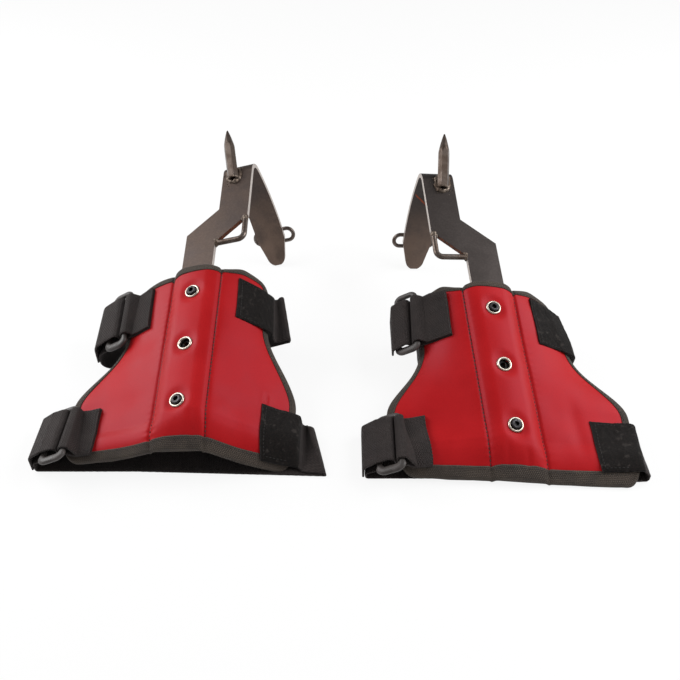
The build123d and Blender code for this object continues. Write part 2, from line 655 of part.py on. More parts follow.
@dataclass
class StrapFrames:
    """Section places of one strap, with the ring's two bars at each."""

    ys: list
    inner: list            # ring bar in the tab
    outer: list            # ring bar in the strap
    outward: tuple         # from inner to outer bar, in the section
    normal: tuple
    bar: Vector            # direction of the bars


def strap_frames(unit, strap):
    """Set the ring's inner bar over the pad's edge, and its outer bar one pitch further out."""
    near = unit.along_to_y(strap.near_y)
    step = STRAP_W / (STRAP_SECTIONS - 1)
    ys = [near + i * step for i in range(STRAP_SECTIONS)]
    height = BIND_ROOM + STRAP_LIFT + STRAP_T / 2 + TAB_BEND_R + RING_LIFT
    first = at(unit.edge_point(-1, ys[0], RING_INSET, height), ys[0])
    last = at(unit.edge_point(-1, ys[-1], RING_INSET, height), ys[-1])
    middle_x = (first.X + last.X) / 2
    first.X = middle_x
    last.X = middle_x
    bar = (last - first).normalized()
    tilt = radians(strap.ring_tilt)
    aim = Vector(-cos(tilt), 0, -sin(tilt))
    aim = (aim - bar * aim.dot(bar)).normalized()

    def on_line(start, y):
        point = start + bar * ((y - start.Y) / bar.Y)
        return point.X, point.Z

    inner = [on_line(first, y) for y in ys]
    outer = [on_line(first + aim * RING_PITCH, y) for y in ys]
    shift = (outer[0][0] - inner[0][0], outer[0][1] - inner[0][1])
    size = sqrt(shift[0] ** 2 + shift[1] ** 2)
    outward = (shift[0] / size, shift[1] / size)
    normal = (outward[1], -outward[0])
    return StrapFrames(ys, inner, outer, outward, normal, bar)


def offset(point, first, a, second, b):
    """Point moved by two section directions."""
    return point[0] + first[0] * a + second[0] * b, point[1] + first[1] * a + second[1] * b


def make_tab(unit, frames):
    """Webbing laid on the cover, round the ring's inner bar and back over itself."""
    over = BIND_ROOM + STRAP_LIFT + STRAP_T / 2
    bend = TAB_BEND_R
    sections = []
    for y, bar in zip(frames.ys, frames.inner):
        out, up = unit.edge_frame(-1, y)
        lift = unit.strap_lift(y)
        upper = lift + STRAP_T + STRAP_LIFT / 2
        points = [unit.edge_point(-1, y, TAB_LENGTH, lift),
                  unit.edge_point(-1, y, BIND_W + STEP_FROM, lift),
                  unit.edge_point(-1, y, BIND_W + STEP_TO, over),
                  offset(bar, out, bend, up, -bend),
                  offset(bar, out, bend, up, bend),
                  offset(bar, out, -bend * 0.8, up, bend),
                  unit.edge_point(-1, y, BIND_W + UPPER_FROM, upper),
                  unit.edge_point(-1, y, TAB_LENGTH, upper)]
        turn = bend * TURN_SHARE
        radii = [STEP_R, STEP_R, turn, turn, STEP_R, STEP_R]
        sections.append(ribbon_section(points, radii, y))
    return loft(sections, ruled=True)


def run_points(unit, strap, frames, i):
    """Path of the strap at one section, from the sewn patch round to the ring's top."""
    y = frames.ys[i]
    share = i / (len(frames.ys) - 1)
    lift = unit.strap_lift(y)
    over = BIND_ROOM + STRAP_LIFT + STRAP_T / 2
    x = unit.pose.x
    fold_x = x + strap.fold_x[0] + (strap.fold_x[1] - strap.fold_x[0]) * share
    bend_x = x + strap.bend_x[0] + (strap.bend_x[1] - strap.bend_x[0]) * share
    floor = STRAP_T / 2
    low = max(strap.fold_low, floor)
    corner = offset(frames.outer[i], frames.outward, -WRAP_R, frames.normal, -WRAP_R)
    run = (bend_x - corner[0]) / frames.outward[0]
    points = [unit.edge_point(1, y, PATCH_LENGTH, lift),
              unit.edge_point(1, y, BIND_W + STEP_FROM, lift),
              unit.edge_point(1, y, BIND_W + STEP_TO, over),
              unit.edge_point(1, y, -LIP, over),
              (fold_x, strap.fold_top),
              (fold_x, low)]
    fold_r = (strap.fold_top - low) * FOLD_SHARE
    radii = [STEP_R, STEP_R, LIP_R, fold_r, fold_r]
    if strap.landing_x is not None:
        points.append((x + strap.landing_x, floor))
        radii.append(LANDING_R)
    points += [(bend_x, floor),
               offset(corner, frames.outward, run, frames.normal, 0.0),
               corner,
               offset(frames.outer[i], frames.outward, -WRAP_R, frames.normal, WRAP_R),
               offset(frames.outer[i], frames.outward, 0.0, frames.normal, WRAP_R)]
    radii += [strap.bend_r, strap.bend_r, WRAP_R * TURN_SHARE, WRAP_R * TURN_SHARE]
    return points, radii


def make_run(unit, strap, frames):
    """Strap from its sewn patch, under the leg space, up through the ring."""
    sections = []
    for i, y in enumerate(frames.ys):
        points, radii = run_points(unit, strap, frames, i)
        sections.append(ribbon_section(points, radii, y))
    return loft(sections, ruled=True)


def make_tail(unit, strap, frames):
    """Free end of the strap, folded back over the outside of the run."""
    sections = []
    for i, y in enumerate(frames.ys):
        share = i / (len(frames.ys) - 1)
        bend_x = unit.pose.x + strap.bend_x[0] + (strap.bend_x[1] - strap.bend_x[0]) * share
        outside = bend_x - STRAP_T - TAIL_GAP
        root = offset(frames.outer[i], frames.outward, TAIL_GAP, frames.normal, WRAP_R)
        knee_z = root[1] - TAIL_SLOPE * (root[0] - outside)
        knee_r = min(strap.bend_r + STRAP_T, 2.0 * (root[0] - outside))
        points = [root, (outside, knee_z), (outside, strap.tail_end)]
        sections.append(ribbon_section(points, [knee_r], y))
    return loft(sections, ruled=True)


def tail_hinge(frames):
    """Point on the line about which the tail peels: the top of its root."""
    middle = len(frames.ys) // 2
    point = offset(frames.outer[middle], frames.outward, TAIL_GAP, frames.normal, WRAP_R + STRAP_T / 2)
    return at(point, frames.ys[middle])


def make_ring(frames):
    """Four round bars, the long pair a strap's width apart from the ends."""
    middle = len(frames.ys) // 2
    centre = at(frames.inner[middle], frames.ys[middle])
    aim = at(frames.outer[middle], frames.ys[middle]) - centre
    aim = (aim - frames.bar * aim.dot(frames.bar)).normalized()
    plane = Plane(origin=centre, x_dir=aim, z_dir=aim.cross(frames.bar))
    half = (STRAP_W / abs(frames.bar.Y) + 2 * RING_SIDE_ROOM + RING_BAR_D) / 2
    pieces = []
    for x in (0.0, RING_PITCH):
        pieces.append(Pos(x, 0, 0) * Rot(90, 0, 0) * Cylinder(RING_BAR_D / 2, 2 * half))
    for side in (-1, 1):
        pieces.append(Pos(RING_PITCH / 2, side * half, 0) * Rot(0, 90, 0)
                      * Cylinder(RING_BAR_D / 2, RING_PITCH))
    for x in (0.0, RING_PITCH):
        for side in (-1, 1):
            pieces.append(Pos(x, side * half, 0) * Sphere(RING_BAR_D / 2))
    ring = plane.location * pieces[0]
    for piece in pieces[1:]:
        ring = ring + plane.location * piece
    return ring.solid()


def make_steel(unit):
    """Named steel pieces and fasteners of one unit, in the unit's steel frame."""
    hand = unit.pose.hand
    shank, stirrup = split_strip(make_strip(hand))
    gaff = make_gaff(hand)
    side_loop = make_side_loop(hand)
    sole_loop = make_sole_loop(hand)
    cover_top = SLEEVE_H + COVER_TOP - LAYER_GAP - BAR_GAP
    return {
        "shank": shank,
        "stirrup": stirrup,
        "gaff": gaff,
        "gaff_weld": make_gaff_weld(hand, gaff),
        "side_loop": side_loop,
        "sole_loop": sole_loop,
        "loop_welds": make_loop_welds(hand),
        "eyelets": make_eyelets(cover_top),
        "eyelet_washers": make_washers(),
        "screws": make_screws(),
    }


def make_pad(unit):
    """Named layers of the leg pad of one unit."""
    holes = [unit.steel * Pos(0, k * EYELET_PITCH, BAR_T + SLEEVE_H)
             * Cylinder(EYELET_BORE / 2 + EYELET_WALL + STEEL_GAP, 2 * SLEEVE_H) for k in (-1, 0, 1)]
    room = 2 * BAR_GAP
    slot = unit.steel * (Pos(0, (PAD_FAR - BAR_TAIL) / 2 + BIND_W, BAR_T / 2)
                         * Box(BAR_W + room, PAD_FAR + BAR_TAIL + 2 * BIND_W, BAR_T + room))
    return {
        "cover": pad_layer(unit, LAYER_GAP, COVER_TOP, 0.0, (True, True), 0.0, 0.0) - holes,
        "foam": pad_layer(unit, -FOAM_T, 0.0, 0.0, (False, False), 0.0, 0.0),
        "lining": pad_layer(unit, LINING_TOP - LINING_T, LINING_TOP, 0.0, (False, False), 0.0, 0.0),
        "binding": make_binding(unit, slot),
    }


def make_unit(pose):
    """All nodes of one unit, and the frames of its straps."""
    unit = Unit(pose)
    nodes = {name: unit.steel * piece for name, piece in make_steel(unit).items()}
    nodes.update(make_pad(unit))
    frames = {}
    for strap in STRAPS[pose.name]:
        place = strap_frames(unit, strap)
        frames[strap.name] = place
        nodes[strap.name + "_tab"] = make_tab(unit, place)
        nodes[strap.name + "_ring"] = make_ring(place)
        nodes[strap.name + "_strap"] = make_run(unit, strap, place)
        nodes[strap.name + "_tail"] = make_tail(unit, strap, place)
    return unit, {pose.name + "_" + name: node for name, node in nodes.items()}, frames


def centred(nodes):
    """Shift that puts the pair's box on the floor, centred on the origin."""
    boxes = [node.bounding_box() for node in nodes.values()]
    low = [min(getattr(box.min, axis) for box in boxes) for axis in "XYZ"]
    high = [max(getattr(box.max, axis) for box in boxes) for axis in "XYZ"]
    return Vector(-(low[0] + high[0]) / 2, -(low[1] + high[1]) / 2, -low[2])


left_unit, left_nodes, left_frames = make_unit(LEFT)
right_unit, right_nodes, right_frames = make_unit(RIGHT)
all_nodes = {**left_nodes, **right_nodes}
SHIFT = centred(all_nodes)

os.makedirs("parts", exist_ok=True)
for node_name, node_shape in all_nodes.items():
    export_step(Pos(SHIFT) * node_shape, "parts/" + node_name + ".step")
print("shift", SHIFT, "pitch", round(left_unit.pitch, 2), round(right_unit.pitch, 2))
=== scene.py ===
import json
import logging
from dataclasses import dataclass, field
from enum import Enum
from functools import partial, reduce
from typing import Callable, Optional, Sequence, Union

import bpy
import numpy as np
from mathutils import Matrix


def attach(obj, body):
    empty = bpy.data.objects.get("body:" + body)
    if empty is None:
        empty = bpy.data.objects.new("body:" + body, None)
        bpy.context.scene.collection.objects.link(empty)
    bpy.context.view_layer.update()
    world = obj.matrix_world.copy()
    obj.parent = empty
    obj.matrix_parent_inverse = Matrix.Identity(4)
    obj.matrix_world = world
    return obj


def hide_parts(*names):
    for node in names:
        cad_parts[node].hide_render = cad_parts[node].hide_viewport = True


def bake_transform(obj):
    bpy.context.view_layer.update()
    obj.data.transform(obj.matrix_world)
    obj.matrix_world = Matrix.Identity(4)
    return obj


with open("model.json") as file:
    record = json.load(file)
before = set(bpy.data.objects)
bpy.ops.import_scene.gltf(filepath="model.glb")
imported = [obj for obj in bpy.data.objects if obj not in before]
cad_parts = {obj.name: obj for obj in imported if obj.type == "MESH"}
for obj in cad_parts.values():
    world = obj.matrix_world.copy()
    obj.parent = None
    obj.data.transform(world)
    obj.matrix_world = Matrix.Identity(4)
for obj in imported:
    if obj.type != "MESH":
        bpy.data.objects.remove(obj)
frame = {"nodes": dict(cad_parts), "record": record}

# Pair of tree climbing spikes, lying face up on a pale floor.
# Shapes are worked out in layout millimetres, X to the right, Y from calf to foot and
# Z up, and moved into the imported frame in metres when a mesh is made.

LOG = logging.getLogger("spikes")
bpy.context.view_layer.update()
MM = 0.001
Array = np.ndarray
Inputs = Union[Sequence, dict]
Node = bpy.types.Node
AddNode = Callable[..., Node]

# Steel sizes that the soft goods and welds follow
BAR_W = 30.0
BAR_T = 4.0
BAR_TAIL = 64.0
JOG_START, JOG_END, JOG_OFFSET = 117.4, 143.5, 30.0
FOLD_AT, FOLD_ANGLE, FOLD_R = 208.3, 92.7, 9.0
PLATE_LENGTH, PLATE_BOW = 122.5, 34.4
EYELET_PITCH = 55.0
SOLE_LOOP_AT, SOLE_LOOP_L, SOLE_WIRE_D = 93.0, 17.0, 4.0
SIDE_ROD_INSET, SIDE_ROD_DROP = 2.4, 0.4
GAFF_AT, GAFF_BACK, GAFF_LEAN = 199.5, 14.2, 5.7
GAFF_SIDE, GAFF_TILT, GAFF_RISE = 4.1, 14.5, 6.2
JOG_TURN = float(np.arctan2(JOG_OFFSET, JOG_END - JOG_START))
JOG_MITRE = BAR_W / 2 * float(np.tan(JOG_TURN / 2))
FOLD_MID_R, FOLD_OUTER_R = FOLD_R + BAR_T / 2, FOLD_R + BAR_T
FOLD_TURN = float(np.radians(FOLD_ANGLE))
FOLD_TANGENT = FOLD_MID_R * float(np.tan(FOLD_TURN / 2))
FOLD_START = FOLD_AT - FOLD_TANGENT
BOW_R = (PLATE_LENGTH - FOLD_TANGENT) / float(np.radians(PLATE_BOW))

# Pad sizes
PAD_ENDS = (-90.5, -36.0, 34.0, 84.0)
WINGS = (73.0, 81.0, 50.0, 48.0)
SLEEVE_HALF = 23.0
SLEEVE_H, NEAR_SLEEVE_H, SLEEVE_EASE = 5.2, 2.4, 2.0
BAR_GAP = 0.3
COVER_TOP, COVER_T = 1.4, 1.2
PAD_LOW = -8.2
BIND_W, BIND_T, BIND_ROOM = 9.0, 0.8, 0.95
TAPE_FLAP, MOUTH_FLAP = 6.0, 7.2

# Strap sizes
STRAP_W, STRAP_T, STRAP_LIFT = 42.0, 1.8, 0.85
PATCH_LENGTH = 33.0
TAB_BEND_R, WRAP_R, TAIL_GAP = 3.5, 4.9, 0.4
RING_BAR_D, RING_PITCH, RING_SIDE_ROOM, RING_INSET, RING_LIFT = 4.5, 19.0, 3.5, 5.0, 2.3
STEP_FROM, STEP_TO, STEP_R, UPPER_FROM, CREASE_AT = 7.0, 1.5, 4.0, 10.0, 12.2
THROUGH, RIDGE_R, TAB_OVER = 13.2, 3.5, 72.0
LIP, LIP_R, LANDING_R, FOLD_SHARE, TURN_SHARE, TAIL_SLOPE = 3.0, 5.0, 12.0, 0.38, 0.98, 0.75

# Settings that each node of a kind has: ranges are eased, and what is mixed is colours
USUAL = {"MapRange": {"interpolation_type": "SMOOTHSTEP"}, "Mix": {"data_type": "RGBA"}}


class Side(Enum):
    """Side of a unit as the camera sees it."""

    LEFT = -1
    RIGHT = 1


class Cloth(Enum):
    """Which woven finish a stretch of strap has."""

    WEBBING = 0
    LOOP_PILE = 1


def linear(code: str) -> tuple[float, float, float, float]:
    """Turn an sRGB hex colour into linear values.

    Args:
        code: colour as "#RRGGBB".

    Returns:
        Linear red, green, blue and an alpha of 1.
    """
    parts = np.array([int(code[i:i + 2], 16) for i in (1, 3, 5)]) / 255.0
    low, high = parts / 12.92, ((parts + 0.055) / 1.055) ** 2.4
    red, green, blue = np.where(parts <= 0.04045, low, high).tolist()
    return red, green, blue, 1.0


def feed(target: Node, inputs: Inputs) -> None:
    """Give a node its values and links.

    Args:
        target: the node.
        inputs: hex colour, value, socket or node for each input, in order, or by name or number.
            Of a node the first output in use is taken.
    """
    named = inputs if isinstance(inputs, dict) else dict(enumerate(inputs))
    for key, value in named.items():
        if isinstance(value, Node):
            value = next(output for output in value.outputs if output.enabled)
        if isinstance(value, str):
            value = linear(value)
        if isinstance(value, bpy.types.NodeSocket):
            target.id_data.links.new(value, target.inputs[key])
        else:
            target.inputs[key].default_value = value


def add_node(tree: bpy.types.NodeTree, kind: str, inputs: Inputs = (), operation: str = "",
             **settings) -> Node:
    """Add a shader node with its settings, values and links.

    Args:
        tree: node tree of a material.
        kind: type name of the node, after its common start.
        inputs: what its inputs get.
        operation: what a node for sums does.
        settings: other properties of the node itself.

    Returns:
        The new node.
    """
    made = tree.nodes.new("ShaderNode" + kind)
    for key, value in {**USUAL.get(kind, {}), **settings}.items():
        setattr(made, key, value)
    if operation:
        made.operation = operation
    feed(made, inputs)
    return made


@dataclass(frozen=True)
class Finish:
    """A material with one principled shader; each kind of surface adds its own nodes."""

    name: str

    def material(self) -> bpy.types.Material:
        """Make the material, or give the one already made under this name.

        Returns:
            The material.
        """
        made = bpy.data.materials.get(self.name)
        if made is None:
            made = bpy.data.materials.new(self.name)
            made.use_nodes = True
            shader = made.node_tree.nodes["Principled BSDF"]
            self.dress(partial(add_node, made.node_tree), shader)
            made.diffuse_color = shader.inputs["Base Color"].default_value
        return made

    def dress(self, add: AddNode, shader: Node) -> None:
        """Add the nodes of this finish.

        Args:
            add: adds a node to the material.
            shader: its principled shader.
        """
        raise NotImplementedError


@dataclass(frozen=True)
class MillScaleSteel(Finish):
    """Hot-rolled flat bar: dark satin oxide skin, sheared edges lighter by bare metal and painted
    reflection, rust in places.

    The skin gives a brown-grey, cloudy half gloss; where the strip was cut the bare metal shows
    lighter, and a painted reflection of the pale surroundings lightens those side faces further.
    The inner edge of the jog has gone brown, and inside the sleeve painted shade darkens the bar.
    Places on the strip are in metres from the corner of its fold.
    """

    skin: str
    cloud: str
    edge: str = "#B9B0AA"
    rust: str = "#6A3A22"
    across: tuple = (1.0, 0.0, 0.0)
    inner_edge: tuple = (1.0, 0.0, 0.0)
    bar_axis: tuple = (0.0, 1.0, 0.0)
    origin: tuple = (0.0, 0.0, 0.0)
    down_axis: tuple = (0.0, 0.0, -1.0)
    streaks: float = 0.0
    cloud_mm: float = 26.0
    pit_mm: float = 1.6
    bloom_from: float = 0.03
    bloom_to: float = 0.1
    # where along the bar the painted shade inside the sleeve begins and where it is full
    sleeve_shade_from: float = -0.129
    sleeve_shade_to: float = -0.137
    streak_at: float = 0.0445
    waver: float = 0.0006

    def dress(self, add: AddNode, shader: Node) -> None:
        """Add oxide clouds, cut edges with a painted reflection, painted shade inside the sleeve, rust and
        roughness.

        Args:
            add: adds a node to the material.
            shader: its principled shader.
        """
        place = add("TexCoord")
        spot, normal = place.outputs["Object"], place.outputs["Normal"]
        local = add("VectorMath", (spot, self.origin), "SUBTRACT")
        down, up_bar, aside = (add("VectorMath", (local, axis), "DOT_PRODUCT")
                               for axis in (self.down_axis, self.bar_axis, self.across))
        facing, inward = (add("VectorMath", (normal, axis), "DOT_PRODUCT")
                          for axis in (self.across, self.inner_edge))
        clouds = add("TexNoise", {"Vector": spot, "Scale": 1000 / self.cloud_mm, "Detail": 4.0,
                                  "Roughness": 0.55})
        pits = add("TexNoise", {"Vector": spot, "Scale": 1000 / self.pit_mm, "Detail": 3.0,
                                "Roughness": 0.6})
        cloudy = add("MapRange", (clouds, 0.36, 0.66))
        colour = add("Mix", {0: cloudy, 6: self.skin, 7: self.cloud})
        speck = add("MapRange", (pits, 0.35, 0.75, 0.86, 1.12))
        colour = add("Mix", {0: 1.0, 6: colour, 7: speck}, blend_type="MULTIPLY")
        # brown bloom towards the foot plate's tip
        low = add("MapRange", (down, self.bloom_from, self.bloom_to))
        patchy = add("MapRange", (clouds, 0.3, 0.6, 0.25, 0.8))
        bloom = add("Math", (low, patchy), "MULTIPLY")
        bloom = add("Math", (bloom, 0.6), "MULTIPLY")
        colour = add("Mix", {0: bloom, 6: colour, 7: "#8C7567"})
        # painted shade: near black where the sleeve covers the bar, standing in for the shade inside the
        # sleeve and its eyelet holes
        sleeve_shade = add("MapRange", (up_bar, self.sleeve_shade_from, self.sleeve_shade_to))
        colour = add("Mix", {0: sleeve_shade, 6: colour, 7: "#0E0C0B"})
        # bare sheared sides, rubbed brighter along the rim, and lightened further as a painted reflection of
        # the pale surroundings
        cut = add("MapRange", (add("Math", (facing,), "ABSOLUTE"), 0.35, 0.62))
        worn = add("MapRange", (clouds, 0.2, 0.62, 0.72, 1.0))
        rub = add("Math", (cut, worn), "MULTIPLY")
        colour = add("Mix", {0: rub, 6: colour, 7: self.edge})
        inner = add("MapRange", (inward, 0.9, 0.97))
        flecks = add("MapRange", (pits, 0.4, 0.62))
        brown = add("Mix", {0: flecks, 6: self.rust, 7: "#3A2219"})
        colour = add("Mix", {0: inner, 6: colour, 7: brown})
        if self.streaks > 0:
            # one slanted rust line, 45 degrees across the plate, wavering by half a millimetre
            slant = add("Math", (down, aside), "SUBTRACT")
            waver = add("MapRange", (clouds, 0.3, 0.7, -self.waver, self.waver))
            off = add("Math", (slant, self.streak_at), "SUBTRACT")
            off = add("Math", (off, waver), "ADD")
            off = add("Math", (off,), "ABSOLUTE")
            begins = add("MapRange", (aside, -0.0145, -0.011))
            ends = add("MapRange", (aside, 0.004, 0.0))
            zone = add("Math", (begins, ends), "MULTIPLY")
            line = add("MapRange", (off, 0.0013, 0.0004))
            line = add("Math", (line, zone), "MULTIPLY")
            line = add("Math", (line, self.streaks), "MULTIPLY")
            colour = add("Mix", {0: line, 6: colour, 7: "#8A3A16"})
        rough = add("MapRange", (clouds, 0.3, 0.7, 0.4, 0.54))
        bump = add("Bump", {"Strength": 0.12, "Distance": 0.0003, "Height": pits})
        feed(shader, {"Base Color": colour, "Metallic": 0.75, "Roughness": rough, "Normal": bump})


@dataclass(frozen=True)
class GroundSteel(Finish):
    """Round or ground steel: grey-brown metal with fine drawn lines and a soft shine."""

    colour: str
    tint: str
    rough: float = 0.38
    line_mm: float = 0.9
    metal: float = 0.85

    def dress(self, add: AddNode, shader: Node) -> None:
        """Add brown tints and grinding lines.

        Args:
            add: adds a node to the material.
            shader: its principled shader.
        """
        spot = add("TexCoord").outputs["Object"]
        clouds = add("TexNoise", {"Vector": spot, "Scale": 110.0, "Detail": 4.0})
        grit = add("TexNoise", {"Vector": spot, "Scale": 1000 / self.line_mm, "Detail": 2.0})
        brown = add("MapRange", (clouds, 0.35, 0.65))
        colour = add("Mix", {0: brown, 6: self.colour, 7: self.tint})
        lines = add("MapRange", (grit, 0.3, 0.75, 0.82, 1.15))
        colour = add("Mix", {0: 1.0, 6: colour, 7: lines}, blend_type="MULTIPLY")
        rough = add("MapRange", (clouds, 0.3, 0.7, self.rough - 0.08, self.rough + 0.1))
        bump = add("Bump", {"Strength": 0.2, "Distance": 0.0003, "Height": grit})
        feed(shader, {"Base Color": colour, "Metallic": self.metal, "Roughness": rough, "Normal": bump})


@dataclass(frozen=True)
class NickelPlate(Finish):
    """Nickel-plated brass eyelet: bright, smooth and faintly warm, with slight tarnish."""

    colour: str = "#BDB4A8"
    dull: str = "#A79E90"

    def dress(self, add: AddNode, shader: Node) -> None:
        """Add a bright metal with clouds of tarnish, about 2.4 mm wide.

        Args:
            add: adds a node to the material.
            shader: its principled shader.
        """
        spot = add("TexCoord").outputs["Object"]
        tarnish = add("TexNoise", {"Vector": spot, "Scale": 420.0, "Detail": 3.0})
        share = add("MapRange", (tarnish, 0.5, 0.75))
        colour = add("Mix", {0: share, 6: self.colour, 7: self.dull})
        rough = add("MapRange", (tarnish, 0.3, 0.7, 0.2, 0.34))
        feed(shader, {"Base Color": colour, "Metallic": 0.9, "Roughness": rough})


@dataclass(frozen=True)
class CoatedLeather(Finish):
    """Leather cloth with a polyurethane skin: even colour, fine pressed grain, satin shine."""

    colour: str
    deep: str
    grain_mm: float = 1.5
    rough: float = 0.43
    gloss_tint: tuple = (1.0, 0.35, 0.5, 1.0)

    def dress(self, add: AddNode, shader: Node) -> None:
        """Add the pressed grain, drawn coarser than the real one so that it shows.

        Args:
            add: adds a node to the material.
            shader: its principled shader.
        """
        spot = add("TexCoord").outputs["Object"]
        cells = add("TexVoronoi", {"Vector": spot, "Scale": 1000 / self.grain_mm})
        clouds = add("TexNoise", {"Vector": spot, "Scale": 24.0, "Detail": 3.0})
        share = add("MapRange", (clouds, 0.3, 0.7))
        colour = add("Mix", {0: share, 6: self.deep, 7: self.colour})
        grain = add("MapRange", (cells, 0.0, 0.6, 0.95, 1.03))
        colour = add("Mix", {0: 1.0, 6: colour, 7: grain}, blend_type="MULTIPLY")
        rough = add("MapRange", (clouds, 0.3, 0.7, self.rough - 0.05, self.rough + 0.06))
        bump = add("Bump", {"Strength": 0.1, "Distance": 0.0002, "Height": cells})
        feed(shader, {"Base Color": colour, "Roughness": rough, "Normal": bump, "IOR": 1.5,
                      "Specular IOR Level": 0.2, "Specular Tint": self.gloss_tint,
                      "Sheen Weight": 0.02, "Sheen Roughness": 0.4})


@dataclass(frozen=True)
class WovenTape(Finish):
    """Woven polyester: threads across and along the piece, dull with a soft edge shine.

    The pattern follows the piece's own map, whose unit is a millimetre. Threads are drawn about
    twice as coarse as the real ones so that they show.
    """

    colour: str
    light: str
    rib_mm: float = 1.5
    warp_mm: float = 2.2
    depth: float = 0.5
    fuzz: float = 0.2
    sheen: float = 0.35
    lint: str = "#6E6663"

    def dress(self, add: AddNode, shader: Node) -> None:
        """Add weft ribs, warp lines and stray fibres.

        Args:
            add: adds a node to the material.
            shader: its principled shader.
        """
        spot = add("TexCoord").outputs["Object"]
        split = add("SeparateXYZ", (add("UVMap", uv_map="weave"),))
        angle = add("Math", (split.outputs[0], 2 * np.pi / self.rib_mm), "MULTIPLY")
        rib = add("Math", (angle,), "SINE")
        warp = add("Math", (split.outputs[1], 2 * np.pi / self.warp_mm), "MULTIPLY")
        warp = add("Math", (warp,), "SINE")
        # each warp thread goes over and under half a rib apart from its neighbour
        shift = add("Math", (add("Math", (warp,), "SIGN"), np.pi / 2), "MULTIPLY")
        weave = add("Math", (add("Math", (angle, shift), "ADD"),), "SINE")
        weave = add("Math", (weave, 0.6), "MULTIPLY")
        thread = add("Math", (weave, add("Math", (warp,), "ABSOLUTE")), "ADD")
        thread = add("Math", (thread, add("Math", (rib, 0.2), "MULTIPLY")), "ADD")
        fibres = add("TexNoise", {"Vector": spot, "Scale": 900.0, "Detail": 3.0, "Roughness": 0.7})
        clouds = add("TexNoise", {"Vector": spot, "Scale": 70.0, "Detail": 3.0})
        stray = add("Math", (fibres, 3.0 * self.fuzz), "MULTIPLY")
        height = add("Math", (thread, stray), "ADD")
        raised = add("MapRange", (height, -0.2, 1.6))
        patchy = add("MapRange", (clouds, 0.3, 0.7, 0.6, 1.0))
        share = add("Math", (raised, patchy), "MULTIPLY")
        colour = add("Mix", {0: share, 6: self.colour, 7: self.light})
        lint = add("MapRange", (fibres, 0.66, 0.74, 0.0, self.fuzz))
        colour = add("Mix", {0: lint, 6: colour, 7: self.lint})
        bump = add("Bump", {"Strength": self.depth, "Distance": 0.0004, "Height": height})
        feed(shader, {"Base Color": colour, "Roughness": 0.78, "Normal": bump, "Specular IOR Level": 0.35,
                      "Sheen Weight": self.sheen, "Sheen Roughness": 0.45})


@dataclass(frozen=True)
class LoopPile(Finish):
    """Loop side of hook-and-loop tape: a deep black mat of tangled fibres with paler tips."""

    colour: str = "#0B0908"
    tip: str = "#221B19"
    worn: str = "#4A4441"
    loop_mm: float = 1.3

    def dress(self, add: AddNode, shader: Node) -> None:
        """Add tangled loops and a few light fibre ends.

        Args:
            add: adds a node to the material.
            shader: its principled shader.
        """
        spot = add("TexCoord").outputs["Object"]
        loops = add("TexNoise", {"Vector": spot, "Scale": 1000 / self.loop_mm, "Detail": 4.0,
                                 "Roughness": 0.75, "Distortion": 1.5})
        rows = add("TexNoise", {"Vector": spot, "Scale": 190.0, "Detail": 3.0, "Distortion": 0.6})
        tips = add("MapRange", (loops, 0.42, 0.72))
        colour = add("Mix", {0: tips, 6: self.colour, 7: self.tip})
        rubbed = add("MapRange", (rows, 0.58, 0.72, 0.0, 0.35))
        colour = add("Mix", {0: rubbed, 6: colour, 7: self.worn})
        bump = add("Bump", {"Strength": 0.8, "Distance": 0.0009, "Height": loops})
        feed(shader, {"Base Color": colour, "Roughness": 0.92, "Normal": bump, "Specular IOR Level": 0.1,
                      "Sheen Weight": 0.06, "Sheen Roughness": 0.6})


@dataclass(frozen=True)
class KnitLining(Finish):
    """Knitted polyester lining: flat black with a fine ladder of stitches."""

    colour: str = "#171413"
    light: str = "#26211F"
    stitch_mm: float = 1.6

    def dress(self, add: AddNode, shader: Node) -> None:
        """Add rows of knitted stitches.

        Args:
            add: adds a node to the material.
            shader: its principled shader.
        """
        spot = add("TexCoord").outputs["Object"]
        cells = add("TexVoronoi", {"Vector": spot, "Scale": 1000 / self.stitch_mm})
        share = add("MapRange", (cells, 0.1, 0.6))
        colour = add("Mix", {0: share, 6: self.light, 7: self.colour})
        bump = add("Bump", {"Strength": 0.4, "Distance": 0.0004, "Height": cells})
        feed(shader, {"Base Color": colour, "Roughness": 0.85, "Normal": bump, "Sheen Weight": 0.2})


@dataclass(frozen=True)
class MouldedPlastic(Finish):
    """Injection-moulded acetal: charcoal, faintly textured, with a dull shine."""

    colour: str = "#332E2C"
    rubbed: str = "#453F3D"
    rough: float = 0.42

    def dress(self, add: AddNode, shader: Node) -> None:
        """Add a fine mould texture and rubbed patches.

        Args:
            add: adds a node to the material.
            shader: its principled shader.
        """
        spot = add("TexCoord").outputs["Object"]
        skin = add("TexNoise", {"Vector": spot, "Scale": 900.0, "Detail": 2.0})
        rub = add("TexNoise", {"Vector": spot, "Scale": 130.0, "Detail": 3.0})
        share = add("MapRange", (rub, 0.45, 0.7))
        colour = add("Mix", {0: share, 6: self.colour, 7: self.rubbed})
        rough = add("MapRange", (rub, 0.3, 0.7, self.rough, self.rough + 0.14))
        bump = add("Bump", {"Strength": 0.12, "Distance": 0.0002, "Height": skin})
        feed(shader, {"Base Color": colour, "Roughness": rough, "Normal": bump})


